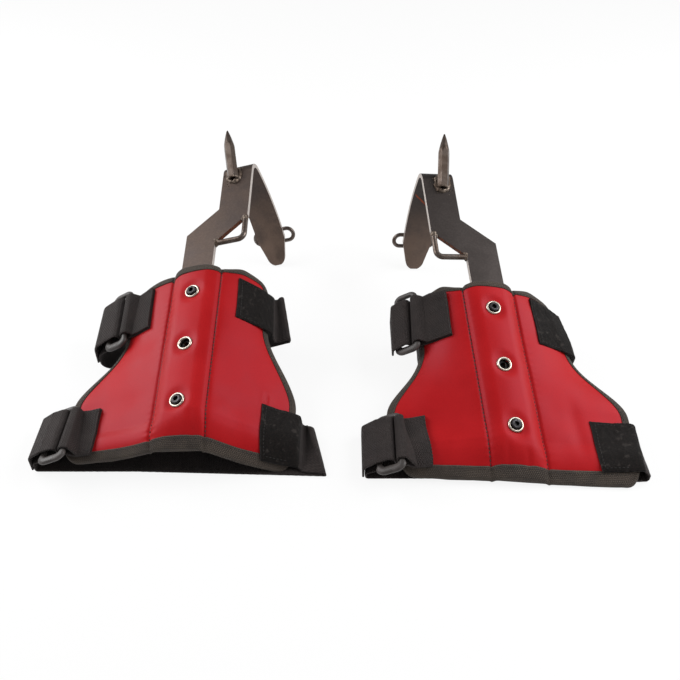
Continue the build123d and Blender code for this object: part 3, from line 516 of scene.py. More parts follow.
@dataclass(frozen=True)
class SewingThread(Finish):
    """Bonded polyester thread: twisted, slightly glossy."""

    colour: str

    def dress(self, add: AddNode, shader: Node) -> None:
        """Add the thread's twist as a fine slanted bump.

        Args:
            add: adds a node to the material.
            shader: its principled shader.
        """
        spot = add("TexCoord").outputs["Object"]
        twist = add("TexWave", {"Vector": spot, "Scale": 420.0, "Distortion": 0.5}).outputs[1]
        lay = add("MapRange", (twist, 0.0, 1.0, 0.75, 1.1))
        colour = add("Mix", {0: 1.0, 6: self.colour, 7: lay}, blend_type="MULTIPLY")
        bump = add("Bump", {"Strength": 0.3, "Distance": 0.0002, "Height": twist})
        feed(shader, {"Base Color": colour, "Roughness": 0.55, "Normal": bump})


def smooth(t: Array) -> Array:
    """Ease a share from 0 to 1, level at both ends: three times its square less twice its cube."""
    t = np.clip(t, 0, 1)
    return t * t * (3 - 2 * t)


def between(pair: Sequence, share: Array) -> Array:
    """Value that goes evenly from the first of a pair to the second."""
    return pair[0] + (pair[1] - pair[0]) * share


def crowded(count: int, crowd: float) -> Array:
    """Shares from 0 to 1: an even row mixed with half a cosine wave, which is closer at the ends."""
    t = np.linspace(0, 1, count)
    return (1 - crowd) * t + crowd * (1 - np.cos(np.pi * t)) / 2


def circle(count: int) -> Array:
    """Angles of a full turn, evenly spaced."""
    return np.linspace(0, 2 * np.pi, count, endpoint=False)


def lengths(line: Array) -> Array:
    """Length along a line of points up to each of them."""
    return np.concatenate([[0], np.cumsum(np.linalg.norm(np.diff(line, axis=0), axis=1))])


def unit_rows(rows: Array) -> Array:
    """Rows scaled to a length of 1."""
    return rows / np.linalg.norm(rows, axis=1, keepdims=True)


@dataclass
class Surface:
    """A mesh in layout millimetres: points, faces by their corners, and a map in millimetres.

    Attributes:
        points: one row a point.
        faces: arrays of corner numbers, all faces of an array with as many corners.
        maps: the map's place of each corner, in the same arrays.
        finish: number of the material of each face, in the same arrays.
    """

    points: Array
    faces: list[Array]
    maps: list[Array]
    finish: list[Array]

    @classmethod
    def plain(cls, points: Array, faces: list[Array]) -> "Surface":
        """Surface of one finish with an empty map."""
        maps = [np.zeros(corners.shape + (2,)) for corners in faces]
        return cls(points, faces, maps, [np.zeros(len(corners), int) for corners in faces])

    def closed_outward(self) -> "Surface":
        """Turn the faces of one closed shell outwards, by the sign of its volume.

        Returns:
            The surface itself.
        """
        volume = 0.0
        for corners in self.faces:
            first = self.points[corners[:, 0]]
            for k in range(1, corners.shape[1] - 1):
                second, third = self.points[corners[:, k]], self.points[corners[:, k + 1]]
                volume += float(np.einsum("ij,ij->", first, np.cross(second, third)))
        if volume < 0:
            self.faces = [corners[:, ::-1] for corners in self.faces]
            self.maps = [places[:, ::-1] for places in self.maps]
        return self

    def joined(self, other: "Surface") -> "Surface":
        """Put another shell beside this one.

        Args:
            other: the other shell.

        Returns:
            A surface with both.
        """
        start = len(self.points)
        return Surface(np.vstack([self.points, other.points]),
                       self.faces + [corners + start for corners in other.faces],
                       self.maps + other.maps, self.finish + other.finish)


def grid(rows: int, columns: int, wrap_rows: bool = False,
         wrap_columns: bool = False) -> tuple[Array, Array, Array]:
    """Corners of the quads of a grid of points.

    Args:
        rows: points in the first direction.
        columns: points in the second direction.
        wrap_rows: join the last row to the first.
        wrap_columns: join the last column to the first.

    Returns:
        Point numbers of each quad, and the row and column of each corner before wrapping.
    """
    first = np.arange(rows if wrap_rows else rows - 1)
    second = np.arange(columns if wrap_columns else columns - 1)
    a, b = (v.ravel() for v in np.meshgrid(first, second, indexing="ij"))
    row = np.stack([a, a + 1, a + 1, a], axis=1)
    column = np.stack([b, b, b + 1, b + 1], axis=1)
    return (row % rows) * columns + column % columns, row, column


def swept(points: Array, length: Array, girth: Array, closed: bool = False,
          finish: Optional[Array] = None) -> Surface:
    """Closed skin of a profile carried along a path.

    Args:
        points: profile points by path steps by 3; the profile is a closed loop of an even count.
        length: map coordinate at each path step, one more than the steps where the path is closed.
        girth: map coordinate at each profile point and again at the first.
        closed: the path joins its own start.
        finish: material number at each path step.

    Returns:
        The skin, with its ends closed by strips across the profile.
    """
    loop, steps = points.shape[:2]
    quads, row, column = grid(loop, steps, True, closed)
    maps = np.stack([length[column], girth[row]], axis=2)
    kinds = np.zeros(len(quads), int) if finish is None else finish[column[:, 0]]
    # the grid's quads are turned round, to go the same way as the caps
    faces, places, kinds = [quads[:, ::-1]], [maps[:, ::-1]], [kinds]
    if not closed:
        half = np.arange(loop // 2 - 1)
        ladder = np.stack([half, half + 1, loop - 2 - half, loop - 1 - half], axis=1)
        for step, turned in ((0, True), (steps - 1, False)):
            cap = ladder * steps + step
            place = np.stack([np.full(ladder.shape, length[step]), girth[ladder]], axis=2)
            faces.append(cap[:, ::-1] if turned else cap)
            places.append(place[:, ::-1] if turned else place)
            kinds.append(np.full(len(cap), 0 if finish is None else finish[step]))
    return Surface(points.reshape(-1, 3), faces, places, kinds).closed_outward()


def wave(seed: int, size: float, *places: Array) -> Array:
    """Smooth unevenness: a sum of slanted sine waves with fixed random phases.

    Args:
        seed: start of the random draws.
        size: length of the longest wave, in the unit of the places.
        places: coordinates, all of one shape.

    Returns:
        Values of about -1 to 1 in that shape.
    """
    draw = np.random.default_rng(seed)
    total = np.zeros(np.broadcast(*places).shape)
    weight = 0.0
    for octave in (1.0, 1.7, 2.9):
        for _ in range(3):
            way = draw.normal(size=len(places))
            way /= np.linalg.norm(way)
            inner = sum(w * p for w, p in zip(way, places))
            total = total + np.sin(2 * np.pi * octave * inner / size + draw.uniform(0, 2 * np.pi)) / octave
            weight += 0.5 / octave
    return total / weight


def mount_row(name: str) -> dict:
    """Row of a mount in the record."""
    return next(row for row in frame["record"]["mounts"] if row["name"] == name)


class Workshop:
    """Makes pieces from surfaces and puts them on their bodies."""

    merge_m = 2e-5
    bevel_steps = 3
    bevel_from_degrees = 38.0

    def __init__(self) -> None:
        """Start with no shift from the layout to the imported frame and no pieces."""
        self.shift = np.zeros(3)
        self.names: list[str] = []

    def set_shift(self, layout_point: Array, mount: str) -> None:
        """Work out the shift from a mount of the record whose place in the layout is known."""
        self.shift = np.array(mount_row(mount)["pos_m"]) / MM - layout_point

    def row(self, points: Array) -> Array:
        """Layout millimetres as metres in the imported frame."""
        return (np.asarray(points, float) + self.shift) * MM

    def piece(self, name: str, surface: Surface, finishes: Sequence[Finish], body: Optional[str],
              slot: str, replaced: Sequence[str] = ()) -> bpy.types.Object:
        """Make one piece.

        Args:
            name: name of the piece.
            surface: its shape.
            finishes: its materials, by the numbers in the surface.
            body: body that it rides on, or None to leave it on no body.
            slot: material slot of the record; not used.
            replaced: CAD nodes that it stands for.

        Returns:
            The object.
        """
        mesh = bpy.data.meshes.new(name)
        corners = np.concatenate([f.ravel() for f in surface.faces]).astype(np.int32)
        counts = np.concatenate([np.full(len(f), f.shape[1]) for f in surface.faces])
        starts = np.concatenate([[0], np.cumsum(counts)[:-1]]).astype(np.int32)
        mesh.vertices.add(len(surface.points))
        mesh.vertices.foreach_set("co", self.row(surface.points).astype(np.float32).ravel())
        mesh.loops.add(len(corners))
        mesh.loops.foreach_set("vertex_index", corners)
        mesh.polygons.add(len(counts))
        mesh.polygons.foreach_set("loop_start", starts)
        mesh.polygons.foreach_set("use_smooth", np.ones(len(counts), bool))
        kinds = np.concatenate(surface.finish).astype(np.int32)
        places = np.concatenate([m.reshape(-1, 2) for m in surface.maps]).astype(np.float32)
        mesh.uv_layers.new(name="weave").data.foreach_set("uv", places.ravel())
        for finish in finishes:
            mesh.materials.append(finish.material())
        mesh.polygons.foreach_set("material_index", kinds)
        mesh.update(calc_edges=True)
        mesh.validate()
        made = bpy.data.objects.new(name, mesh)
        bpy.context.scene.collection.objects.link(made)
        if body is not None:
            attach(made, body)
        if replaced:
            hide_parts(*replaced)
        self.names.append(name)
        LOG.info("%s: %d points, %d faces", name, len(surface.points), len(counts))
        return made

    def dress_node(self, name: str, finish: Finish, bevel_mm: float = 0.0) -> None:
        """Give a CAD node its material and softened edges.

        Args:
            name: the node.
            finish: its material.
            bevel_mm: width of the softened edges, or 0.
        """
        made = frame["nodes"][name]
        made.data.materials.clear()
        made.data.materials.append(finish.material())
        if bevel_mm > 0:
            merge = made.modifiers.new("merge", "WELD")
            merge.merge_threshold = self.merge_m
            soften = made.modifiers.new("soften", "BEVEL")
            soften.width = bevel_mm * MM
            soften.segments = self.bevel_steps
            soften.limit_method = "ANGLE"
            soften.angle_limit = np.radians(self.bevel_from_degrees)
        LOG.info("%s: CAD node dressed as %s", name, finish.name)


def turn_matrix(yaw: float, pitch: float, roll: float) -> Array:
    """Turn by roll about Y, then pitch about X, then yaw about Z.

    Args:
        yaw: turn about Z in degrees.
        pitch: turn about X in degrees.
        roll: turn about Y in degrees.

    Returns:
        The three turns multiplied out as one matrix.
    """
    (cy, sy), (cp, sp), (cr, sr) = ((np.cos(a), np.sin(a)) for a in np.radians([yaw, pitch, roll]))
    return np.array([[cy * cr - sy * sp * sr, -sy * cp, cy * sr + sy * sp * cr],
                     [sy * cr + cy * sp * sr, cy * cp, sy * sr - cy * sp * cr],
                     [-cp * sr, sp, cp * cr]])


@dataclass(frozen=True)
class Lie:
    """How one unit lies: middle eyelet, heights and turns, and how far each wing droops.

    The slopes are the wing's droop at the seam and at the edge, at the pad's four stations.
    """

    name: str
    hand: int
    x: float
    y: float
    near_height: float
    yaw: float
    roll: float
    near_roll: float
    left_slopes: tuple
    right_slopes: tuple


@dataclass(frozen=True)
class StrapLie:
    """Where one strap lies, X from the middle eyelet, with near and far value where two.

    The valley and the crest are X and Z at the near and far edge, where the strap dips and rises
    again past the pad before it turns under; the tuck is X and Z of a place under the pad that it
    passes next. The spread is how much wider each edge lies, and the drift how far the patch's two
    edges and the fold lie along Y. The slide is the ring's along its bars, and the pull is the
    strap's there; tab and patch reach in from the pad's edge by their lengths, the tab's sewn end
    leans along Y, and the tail hangs out by its own X where it does not follow the run.
    """

    name: str
    near_y: float
    ring_tilt: float
    bend_x: tuple
    fold_x: tuple
    fold_top: float
    fold_low: Union[float, tuple]
    landing_x: Optional[float]
    bend_r: float
    tail_end: float
    valley: Optional[tuple] = None
    crest: Optional[tuple] = None
    spread: tuple = (0.0, 0.0)
    tuck: Optional[tuple] = None
    drift: tuple = (0.0, 0.0, 0.0)
    slide: float = 0.0
    pull: float = 0.0
    tab: tuple = (27.0, 27.0)
    lean: tuple = (0.0, 0.0)
    patch: tuple = (33.0, 33.0)
    tail_out: Optional[float] = None


class UnitFrame:
    """Bar frame and pad sections of one unit, in the layout."""

    def __init__(self, lie: Lie) -> None:
        """Work out how the unit rests.

        Args:
            lie: how it lies.
        """
        self.lie = lie
        self.name, self.body = lie.name, lie.name + "_unit"
        self.turn = turn_matrix(lie.yaw, self.pitch(), lie.roll)
        self.origin = np.array([lie.x, lie.y, lie.near_height - self.turn[2, 1] * PAD_ENDS[0]])
        self.lean = float(np.hypot(self.turn[0, 2], self.turn[2, 2]))
        self.held = float(np.arctan2(-self.turn[0, 2], self.turn[2, 2]))
        self.stations = np.array([self.along_to_y(d) for d in PAD_ENDS])
        self.sleeve_end = self.along_to_y(-BAR_TAIL) - SLEEVE_EASE

    def pitch(self) -> float:
        """Pitch of the bar in degrees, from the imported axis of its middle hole."""
        upright = abs(mount_row(self.name + "_spare_hole")["axis"][2])
        return float(np.degrees(np.arccos(upright / np.cos(np.radians(self.lie.roll)))))

    def along_to_y(self, d: float) -> float:
        """Y of the bar's middle line at a length from the middle eyelet."""
        return self.lie.y + d * self.turn[1, 1]

    def steel(self, points: Array) -> Array:
        """Points in the bar's own frame as layout points."""
        return self.origin + np.asarray(points, float) @ self.turn.T

    def blend(self, values: Sequence[float], y: Array) -> Array:
        """Value at Y, eased between the four stations.

        Args:
            values: values at the stations.
            y: places.

        Returns:
            Values in the shape of y.
        """
        y = np.asarray(y, float)
        total = np.full(y.shape, float(values[0]))
        for i in range(3):
            start, end = self.stations[i:i + 2]
            total = total + (values[i + 1] - values[i]) * smooth((y - start) / (end - start))
        return total

    def end_gap(self, y: Array) -> Array:
        """Length along Y to the nearer end of the pad."""
        return np.minimum(y - self.stations[0], self.stations[3] - y)

    def near_share(self, y: Array) -> Array:
        """1 at the calf edge and 0 from the bar's end on."""
        return np.clip((self.sleeve_end - y) / (self.sleeve_end - self.stations[0]), 0, 1)

    def sleeve(self, y: Array) -> tuple[Array, Array, Array]:
        """Middle of the foam's top under the sleeve.

        Args:
            y: places.

        Returns:
            X, Z and the tilt across, in radians.
        """
        d = (y - self.lie.y) / self.turn[1, 1]
        tilt = self.held + (-np.radians(self.lie.near_roll) - self.held) * self.near_share(y)
        gap = BAR_GAP / self.lean
        x = self.lie.x + d * self.turn[0, 1] + gap * np.sin(tilt)
        z = self.origin[2] + d * self.turn[2, 1] - gap * np.cos(tilt)
        return x, z, tilt

    def wing_length(self, y: Array) -> Array:
        """Seam to edge, over the curve."""
        return self.blend(WINGS, y)

    def raw(self, q: Array, y: Array) -> tuple[Array, Array, Array, Array]:
        """Top of the foam in the section at Y: flat under the sleeve, an arc on each wing.

        A wing's slope grows evenly with length, so its place is the integral of the slope's
        cosine and sine: length times the mean direction times sin(k)/k for half the turn k.

        Args:
            q: place across, in millimetres over the curve from the sleeve's middle.
            y: place along.

        Returns:
            X, Z and the direction across, as its X and Z.
        """
        q, y = np.broadcast_arrays(np.asarray(q, float), np.asarray(y, float))
        x, z, tilt = self.sleeve(y)
        side = np.where(q < 0, -1.0, 1.0)
        flat = np.minimum(np.abs(q), SLEEVE_HALF) * side
        x = x + flat * np.cos(tilt)
        z = z + flat * np.sin(tilt)
        s = np.maximum(np.abs(q) - SLEEVE_HALF, 0.0)
        slopes = [np.where(q < 0, self.blend([v[k] for v in self.lie.left_slopes], y),
                           self.blend([v[k] for v in self.lie.right_slopes], y)) for k in (0, 1)]
        start, end = np.radians(slopes[0]), np.radians(slopes[1])
        half = (end - start) * s / self.wing_length(y) / 2
        reach = s * np.sinc(half / np.pi)
        x = x + side * reach * np.cos(start + half)
        z = z - reach * np.sin(start + half)
        on_wing = s > 0
        slope = start + 2 * half
        return (x, z, np.where(on_wing, np.cos(slope), np.cos(tilt)),
                np.where(on_wing, -side * np.sin(slope), np.sin(tilt)))

    def skin(self, q: Array, y: Array, h: Array, soft: float = 3.4) -> Array:
        """Point above the foam's top, the seams' corners eased by a moving average.

        Args:
            q: place across.
            y: place along.
            h: height, square to the eased section.
            soft: width of the average.

        Returns:
            Layout points.
        """
        q, y, h = np.broadcast_arrays(np.asarray(q, float), np.asarray(y, float), np.asarray(h, float))
        taps = np.linspace(-2.2, 2.2, 9)
        weights = np.exp(-taps ** 2 / 2)
        weights /= weights.sum()
        sums = [np.zeros(q.shape) for _ in range(4)]
        for tap, weight in zip(taps, weights):
            for total, value in zip(sums, self.raw(q + tap * soft, y)):
                total += weight * value
        x, z, tx, tz = sums
        size = np.hypot(tx, tz)
        return np.stack([x - tz / size * h, y, z + tx / size * h], axis=-1)

    def edge_point(self, side: Side, y: Array, inset: Array, h: Array) -> Array:
        """Point of the section counted inwards from a wing's edge and up from the cover.

        Args:
            side: which wing.
            y: places along.
            inset: length inside the edge.
            h: height above the cover.

        Returns:
            X and Z of each place.
        """
        q = side.value * (SLEEVE_HALF + self.wing_length(y) - inset)
        x, z, tx, tz = self.raw(q, y)
        lift = COVER_TOP + h
        return np.stack([x - tz * lift, z + tx * lift], axis=-1)

    def edge_frame(self, side: Side, y: Array) -> tuple[Array, Array]:
        """Outward and upward directions of the section at a wing's edge, each as X and Z."""
        _, _, tx, tz = self.raw(side.value * (SLEEVE_HALF + self.wing_length(y)), y)
        return side.value * np.stack([tx, tz], axis=-1), np.stack([-tz, tx], axis=-1)

    def sleeve_height(self, y: Array) -> Array:
        """Height of the sleeve's hollow above the foam, in the section."""
        return (SLEEVE_H + (NEAR_SLEEVE_H - SLEEVE_H) * self.near_share(y)) / self.lean


LEFT = Lie("left", hand=1, x=-129.4, y=18.0, near_height=38.0, yaw=-0.8, roll=-17.0, near_roll=-6.0,
           left_slopes=((26, 2), (30, 10), (32, 36), (30, 42)),
           right_slopes=((30, 12), (36, 26), (26, 40), (22, 46)))
RIGHT = Lie("right", hand=-1, x=138.3, y=7.8, near_height=14.0, yaw=5.0, roll=7.1, near_roll=1.0,
            left_slopes=((4, -2), (22, 8), (26, 42), (24, 54)),
            right_slopes=((3, -2), (14, 4), (20, 32), (26, 42)))
STRAPS = {
    "left": (
        StrapLie("calf", near_y=-86.0, ring_tilt=24.0, bend_x=(-120.6, -120.6), fold_x=(118.2, 107.6),
                 fold_top=3.0, fold_low=0.9, landing_x=None, bend_r=2.0, tail_end=2.6,
                 valley=((97.7, 3.0), (97.7, 3.0)), crest=((116.9, 2.8), (105.5, 13.3)),
                 spread=(2.0, 2.0), drift=(-1.0, -1.0, -7.0), slide=-3.5, pull=-2.0,
                 tab=(23.0, 28.0), patch=(27.0, 32.0)),
        StrapLie("ankle", near_y=33.0, ring_tilt=35.0, bend_x=(-91.0, -89.0), fold_x=(84.0, 76.5),
                 fold_top=39.0, fold_low=(33.5, 47.5), landing_x=40.0, bend_r=8.0, tail_end=8.0,
                 valley=((70.9, 34.0), (69.6, 48.7)), crest=((85.2, 38.4), (77.5, 54.3)),
                 tuck=(56.0, 24.0), drift=(-2.5, -4.5, 0.0), slide=-1.0,
                 tab=(31.0, 28.0), patch=(33.5, 32.5)),
    ),
    "right": (
        StrapLie("calf", near_y=-86.0, ring_tilt=24.0, bend_x=(-117.2, -117.2), fold_x=(112.5, 110.5),
                 fold_top=7.0, fold_low=0.9, landing_x=None, bend_r=2.0, tail_end=2.6,
                 spread=(2.0, 2.0), drift=(-4.0, -4.0, -5.5), slide=-3.5, pull=-2.0,
                 tab=(25.5, 32.0), patch=(30.0, 36.0)),
        StrapLie("ankle", near_y=36.0, ring_tilt=38.0, bend_x=(-66.0, -66.0), fold_x=(72.0, 70.0),
                 fold_top=24.0, fold_low=16.0, landing_x=48.0, bend_r=8.0, tail_end=27.0,
                 spread=(1.5, 2.0), drift=(-5.5, -7.5, 0.0), slide=1.0, pull=-0.5,
                 tab=(35.0, 34.0), lean=(-2.5, -7.5), patch=(34.0, 32.5), tail_out=-90.9),
    ),
}

THREAD_BLACK = SewingThread("black_polyester_thread", "#171413")
# dark thread of the inner seams, which is also painted shade standing in for the shadow in the seam's groove
SEAM_SHADE_THREAD = SewingThread("dark_thread_and_painted_seam_shade", "#2B1F1E")
TAPE = WovenTape("black_grosgrain_tape", "#1E1917", "#54493F", 1.6, 3.0, 0.7, 0.15, 0.06)
WEBBING = WovenTape("black_polyester_webbing", "#110C0B", "#2E2523", 2.0, 2.6, 0.9, 0.4, 0.04)
PILE = LoopPile("black_loop_pile")
LINING = KnitLining("black_knit_lining")
PLASTIC = MouldedPlastic("charcoal_acetal")
NICKEL = NickelPlate("nickel_plate")
SCREW = GroundSteel("blackened_screw_steel", "#3C3B3D", "#2A2829", 0.3, 1.2)
WELD = GroundSteel("weld_metal", "#75695F", "#54463C", 0.48, 1.0, 0.7)
ROD = GroundSteel("drawn_steel_rod", "#6E6560", "#54473F", 0.34, 1.4)
GAFF = GroundSteel("ground_gaff_steel", "#645952", "#4C4038", 0.36, 0.8)
LEATHER = CoatedLeather("red_coated_leather", "#A8181A", "#9E1517")


@dataclass(frozen=True)
class Stitch:
    """One kind of sewing: spacing and length of the stitches and thickness of the thread."""

    pitch: float
    length: float
    thick: float


TAPE_STITCH = Stitch(3.4, 2.3, 0.5)
OUTER_STITCH = Stitch(3.2, 2.1, 1.0)
# inner seam: stitches as long as their spacing, so that the dark thread draws an unbroken line of painted
# shade
INNER_SEAM_SHADE_STITCH = Stitch(3.4, 3.5, 0.8)
STRAP_STITCH = Stitch(2.8, 2.1, 0.55)


def shells(points: Array) -> Surface:
    """Many small closed shells that share one grid.

    Args:
        points: shells by sides by rings by 3; each ring is closed, and the end rings get caps.

    Returns:
        The shells as one surface, all turned outwards.
    """
    count, sides, rings = points.shape[:3]
    quads = grid(sides, rings, True)[0][:, ::-1]
    first = np.arange(sides) * rings
    caps = np.stack([first[::-1], first + rings - 1])
    one = Surface.plain(points[0].reshape(-1, 3), [quads, caps]).closed_outward()
    start = (np.arange(count) * sides * rings)[:, None, None]
    faces = [(corners[None] + start).reshape(-1, corners.shape[1]) for corners in one.faces]
    return Surface.plain(points.reshape(-1, 3), faces)


def spaced(line: Array, pitch: float) -> tuple[Array, Array]:
    """Places evenly spaced along a line of points.

    Args:
        line: points in order, any number of coordinates.
        pitch: spacing.

    Returns:
        The places and the direction there.
    """
    length = lengths(line)
    count = max(int(length[-1] / pitch), 2)
    at = np.linspace(0, length[-1], count + 1)
    place = np.stack([np.interp(at, length, line[:, k]) for k in range(line.shape[1])], axis=1)
    return (place[1:] + place[:-1]) / 2, np.diff(place, axis=0)


def stitches(row: Array, ups: Array, kind: Stitch) -> Surface:
    """Stitches along a row of points: small arched grains of thread.

    Each grain is a spindle of five rings; its radius follows the root of the sine of the way
    along, and its ends dip below the cloth.

    Args:
        row: points on the cloth.
        ups: direction out of the cloth at each.
        kind: spacing and size.

    Returns:
        All the grains as one surface.
    """
    # the directions are carried along with the points, small enough not to count as length
    both, ways = spaced(np.hstack([row, ups * 0.001]), kind.pitch)
    ways = unit_rows(ways[:, :3])
    across = unit_rows(np.cross(both[:, 3:], ways))
    ups = np.cross(ways, across)
    t, turn = np.linspace(0.08, 0.92, 5), circle(6)[:, None]
    arch = np.sin(np.pi * t)
    radius = kind.thick / 2 * arch ** 0.5
    rise = kind.thick * (0.6 * arch - 0.35)
    return shells(both[:, None, None, :3]
                  + ways[:, None, None] * ((t - 0.5) * kind.length)[:, None]
                  + across[:, None, None] * (np.cos(turn) * radius)[:, :, None]
                  + ups[:, None, None] * (np.sin(turn) * radius + rise)[:, :, None])


@dataclass
class LegPad:
    """Padded cuff of one unit: cover with its sleeve, back, edge tape, eyelets and seams.

    A crease is its place across and along, half its length, its depth and its half width. The
    skews are a shift and a slant of the two ends, and the drop is how far the calf edge hangs at
    its left, middle and right.
    """

    unit: UnitFrame
    shop: Workshop
    creases: tuple = ()
    near_skew: tuple = (0.0, 0.0)
    far_skew: tuple = (0.0, 0.0)
    near_drop: tuple = (0.0, 0.0, 0.0)
    corner_r: float = 11.0
    ramp: float = 13.0
    dome: float = 1.5
    dome_gap: float = 10.0
    crown: float = 1.3
    belly: float = 0.8
    ripple: float = 74.0
    near_ripple: float = 40.0
    belly_ripple: float = 46.0
    groove: float = 1.0
    groove_half: float = 1.3
    pucker_pitch: float = 6.2
    pucker_half: float = 4.5
    outer_pucker: float = 0.42
    inner_pucker: float = 0.15
    inner_seam_off: float = 0.6
    dent: float = 0.5
    dent_r: float = 6.0
    dent_half: float = 5.0
    pinch_top: float = 1.1
    pinch_top_w: float = 12.0
    pinch_low: float = 3.4
    pinch_low_w: float = 15.0
    near_pinch: float = 4.2
    near_pinch_w: float = 18.0
    wing_free: float = 30.0
    mouth_deep: float = 25.0
    mouth_half: float = 45.0
    mouth_press: float = 1.1
    press_from: float = 14.0
    press_over: float = 12.0
    foam_gap: float = 0.1
    tape_edge: float = 0.6
    tape_rim: float = 0.9
    tape_core: float = 0.04
    tape_room: float = 0.15
    mouth_lap: float = 1.5
    tape_sew_inset: float = 1.7
    seam_end: float = 6.0
    thread_lift: float = 0.05
    row_crowd: float = 0.72
    wing_crowd: float = 0.45
    hole_r: float = 5.1
    holes: Array = field(init=False)

    def __post_init__(self) -> None:
        """Find the eyelets' places on the cover."""
        spots = self.unit.steel([(0.0, k * EYELET_PITCH, SLEEVE_H + COVER_TOP) for k in (-1, 0, 1)])
        x, z, tilt = self.unit.sleeve(spots[:, 1])
        q = (spots[:, 0] - x) * np.cos(tilt) + (spots[:, 2] - z) * np.sin(tilt)
        self.holes = np.stack([q, spots[:, 1]], axis=1)

    def reach(self, y: Array) -> Array:
        """Seam to edge, shortened near the ends so that the pad's corners are round."""
        gap = self.corner_r - np.clip(self.unit.end_gap(y), 0, self.corner_r)
        return self.unit.wing_length(y) - self.corner_r + np.sqrt(self.corner_r ** 2 - gap ** 2)

    def wing_share(self, q: Array, y: Array) -> Array:
        """0 up to the seam and 1 at the wing's edge."""
        return np.clip((np.abs(q) - SLEEVE_HALF) / np.maximum(self.reach(y), 1.0), 0, 1)

    def sleeve_share(self, q: Array) -> Array:
        """Share of the sleeve's height: 0 at the seams, 1 over the bar, rounded between."""
        t = np.clip((SLEEVE_HALF - np.abs(q)) / self.ramp, 0, 1)
        return 1 - (1 - t) ** 2

    def edge_share(self, q: Array, y: Array, width: float) -> Array:
        """Nearness to the pad's edge, with the sleeve's mouth left out.

        Args:
            q: place across.
            y: place along.
            width: how far in from the edge it fades out.

        Returns:
            1 at the edge, falling to 0 at the width inside it.
        """
        ends = self.unit.stations
        gaps = (SLEEVE_HALF + self.reach(y) - np.abs(q), y - ends[0], ends[3] - y)
        shares = [np.clip(1 - np.maximum(gap, 0) / width, 0, 1) ** 2 for gap in gaps]
        shares[2] = shares[2] * (1 - self.sleeve_share(q))
        return 1 - np.prod([1 - share for share in shares], axis=0)

    def near_dip(self, y: Array) -> Array:
        """How far the cover is drawn down towards the thin calf edge."""
        inside = np.maximum(y - self.unit.stations[0], 0)
        return self.near_pinch * np.clip(1 - inside / self.near_pinch_w, 0, 1) ** 1.6

    def drop(self, q: Array, y: Array) -> Array:
        """How far the calf edge hangs down past the bar's end.

        Across the pad the depth is the parabola through its values at the left edge, the middle
        and the right edge; along the pad it grows with the square of the way from where the bar
        lets go, which is further in on the wings.

        Args:
            q: place across.
            y: place along.

        Returns:
            Depths.
        """
        left, middle, right = self.near_drop
        u = np.clip(q / (SLEEVE_HALF + WINGS[0]), -1, 1)
        depth = middle + (right - left) / 2 * u + ((right + left) / 2 - middle) * u * u
        ends, held = self.unit.stations, self.unit.sleeve_end
        start = between((held, ends[1]), smooth((np.abs(q) - SLEEVE_HALF) / self.wing_free))
        return depth * np.clip((start - y) / (start - ends[0]), 0, 1) ** 2

    def skewed(self, q: Array, y: Array) -> Array:
        """Y moved at the ends, whose cut is not quite square.

        Args:
            q: place across.
            y: place along.

        Returns:
            Y with the shift and the slant of the calf edge and of the sleeve's mouth.
        """
        ends = self.unit.stations
        near = np.clip((ends[1] - y) / (ends[1] - ends[0]), 0, 1)
        far = np.clip((y - ends[3] + self.mouth_deep) / self.mouth_deep, 0, 1)
        mouth = smooth((self.mouth_half - np.abs(q)) / (self.mouth_half - SLEEVE_HALF))
        return (y + (self.near_skew[0] + self.near_skew[1] * q) * near ** 2
                + (self.far_skew[0] + self.far_skew[1] * q) * far ** 2 * mouth)

    def place(self, q: Array, y: Array, h: Array) -> Array:
        """Layout point of the pad, with its ends skewed and the calf edge hanging.

        Args:
            q: place across.
            y: place along.
            h: height above the foam.

        Returns:
            Layout points.
        """
        spot = self.unit.skin(q, self.skewed(q, y), h)
        spot[..., 2] -= self.drop(q, y)
        return spot

    def top(self, q: Array, y: Array) -> Array:
        """Height of the cover's face above the foam.

        The sleeve stands up over the bar in a low dome, the wings are crowned between seam and
        edge, thread pulls a groove along each seam with small puckers, the eyelets sit in dents of
        the dome and the edge is pinched by the tape.

        Args:
            q: place across.
            y: place along.

        Returns:
            Heights.
        """
        unit, hand = self.unit, self.unit.lie.hand
        share, near = self.sleeve_share(q), self.unit.near_share(y)
        h = COVER_TOP + (unit.sleeve_height(y) - COVER_TOP * (1 - 1 / unit.lean)) * share
        h = h + self.crown * np.sin(np.pi * self.wing_share(q, y)) ** 0.8 * (1 - 0.4 * near)
        h = h + (0.5 + 0.5 * near) * wave(7 + hand, self.ripple, q, y) * (1 - 0.75 * share) * 0.75
        h = h + 0.9 * near * wave(17 + hand, self.near_ripple, q, y) * share
        for side in Side:
            off = q - side.value * SLEEVE_HALF
            pull = np.exp(-(off / self.groove_half) ** 2)
            size = self.outer_pucker if side.value == -hand else self.inner_pucker
            pucker = np.sin(2 * np.pi * y / self.pucker_pitch + 1.5 * np.sin(y / 9.0))
            pucker = pucker * (0.55 + 0.45 * np.sin(y / 17.0 + side.value))
            pucker = pucker * np.exp(-(off / self.pucker_half) ** 2) * (1 - 0.6 * pull)
            h = h - self.groove * pull + size * pucker
        bulge = np.cos(np.pi / 2 * np.clip(q / SLEEVE_HALF, -1, 1)) ** 2
        bulge = self.dome * bulge * (1 - 0.7 * near)
        for hole_q, hole_y in self.holes:
            gap = np.hypot(q - hole_q, y - hole_y)
            bulge = bulge * (1 - np.exp(-(gap / self.dome_gap) ** 4))
            ring = np.exp(-((gap - self.dent_r) / self.dent_half) ** 2)
            h = h - self.dent * ring * (gap > self.dent_r / 2)
        h = h + bulge
        for crease_q, crease_y, half, depth, width in self.creases:
            off, along = q - crease_q, y - crease_y
            inside = np.exp(-(off / width) ** 2 - (along / half) ** 4)
            beside = np.exp(-(off / (3.2 * width)) ** 2 - (along / (1.4 * half)) ** 4)
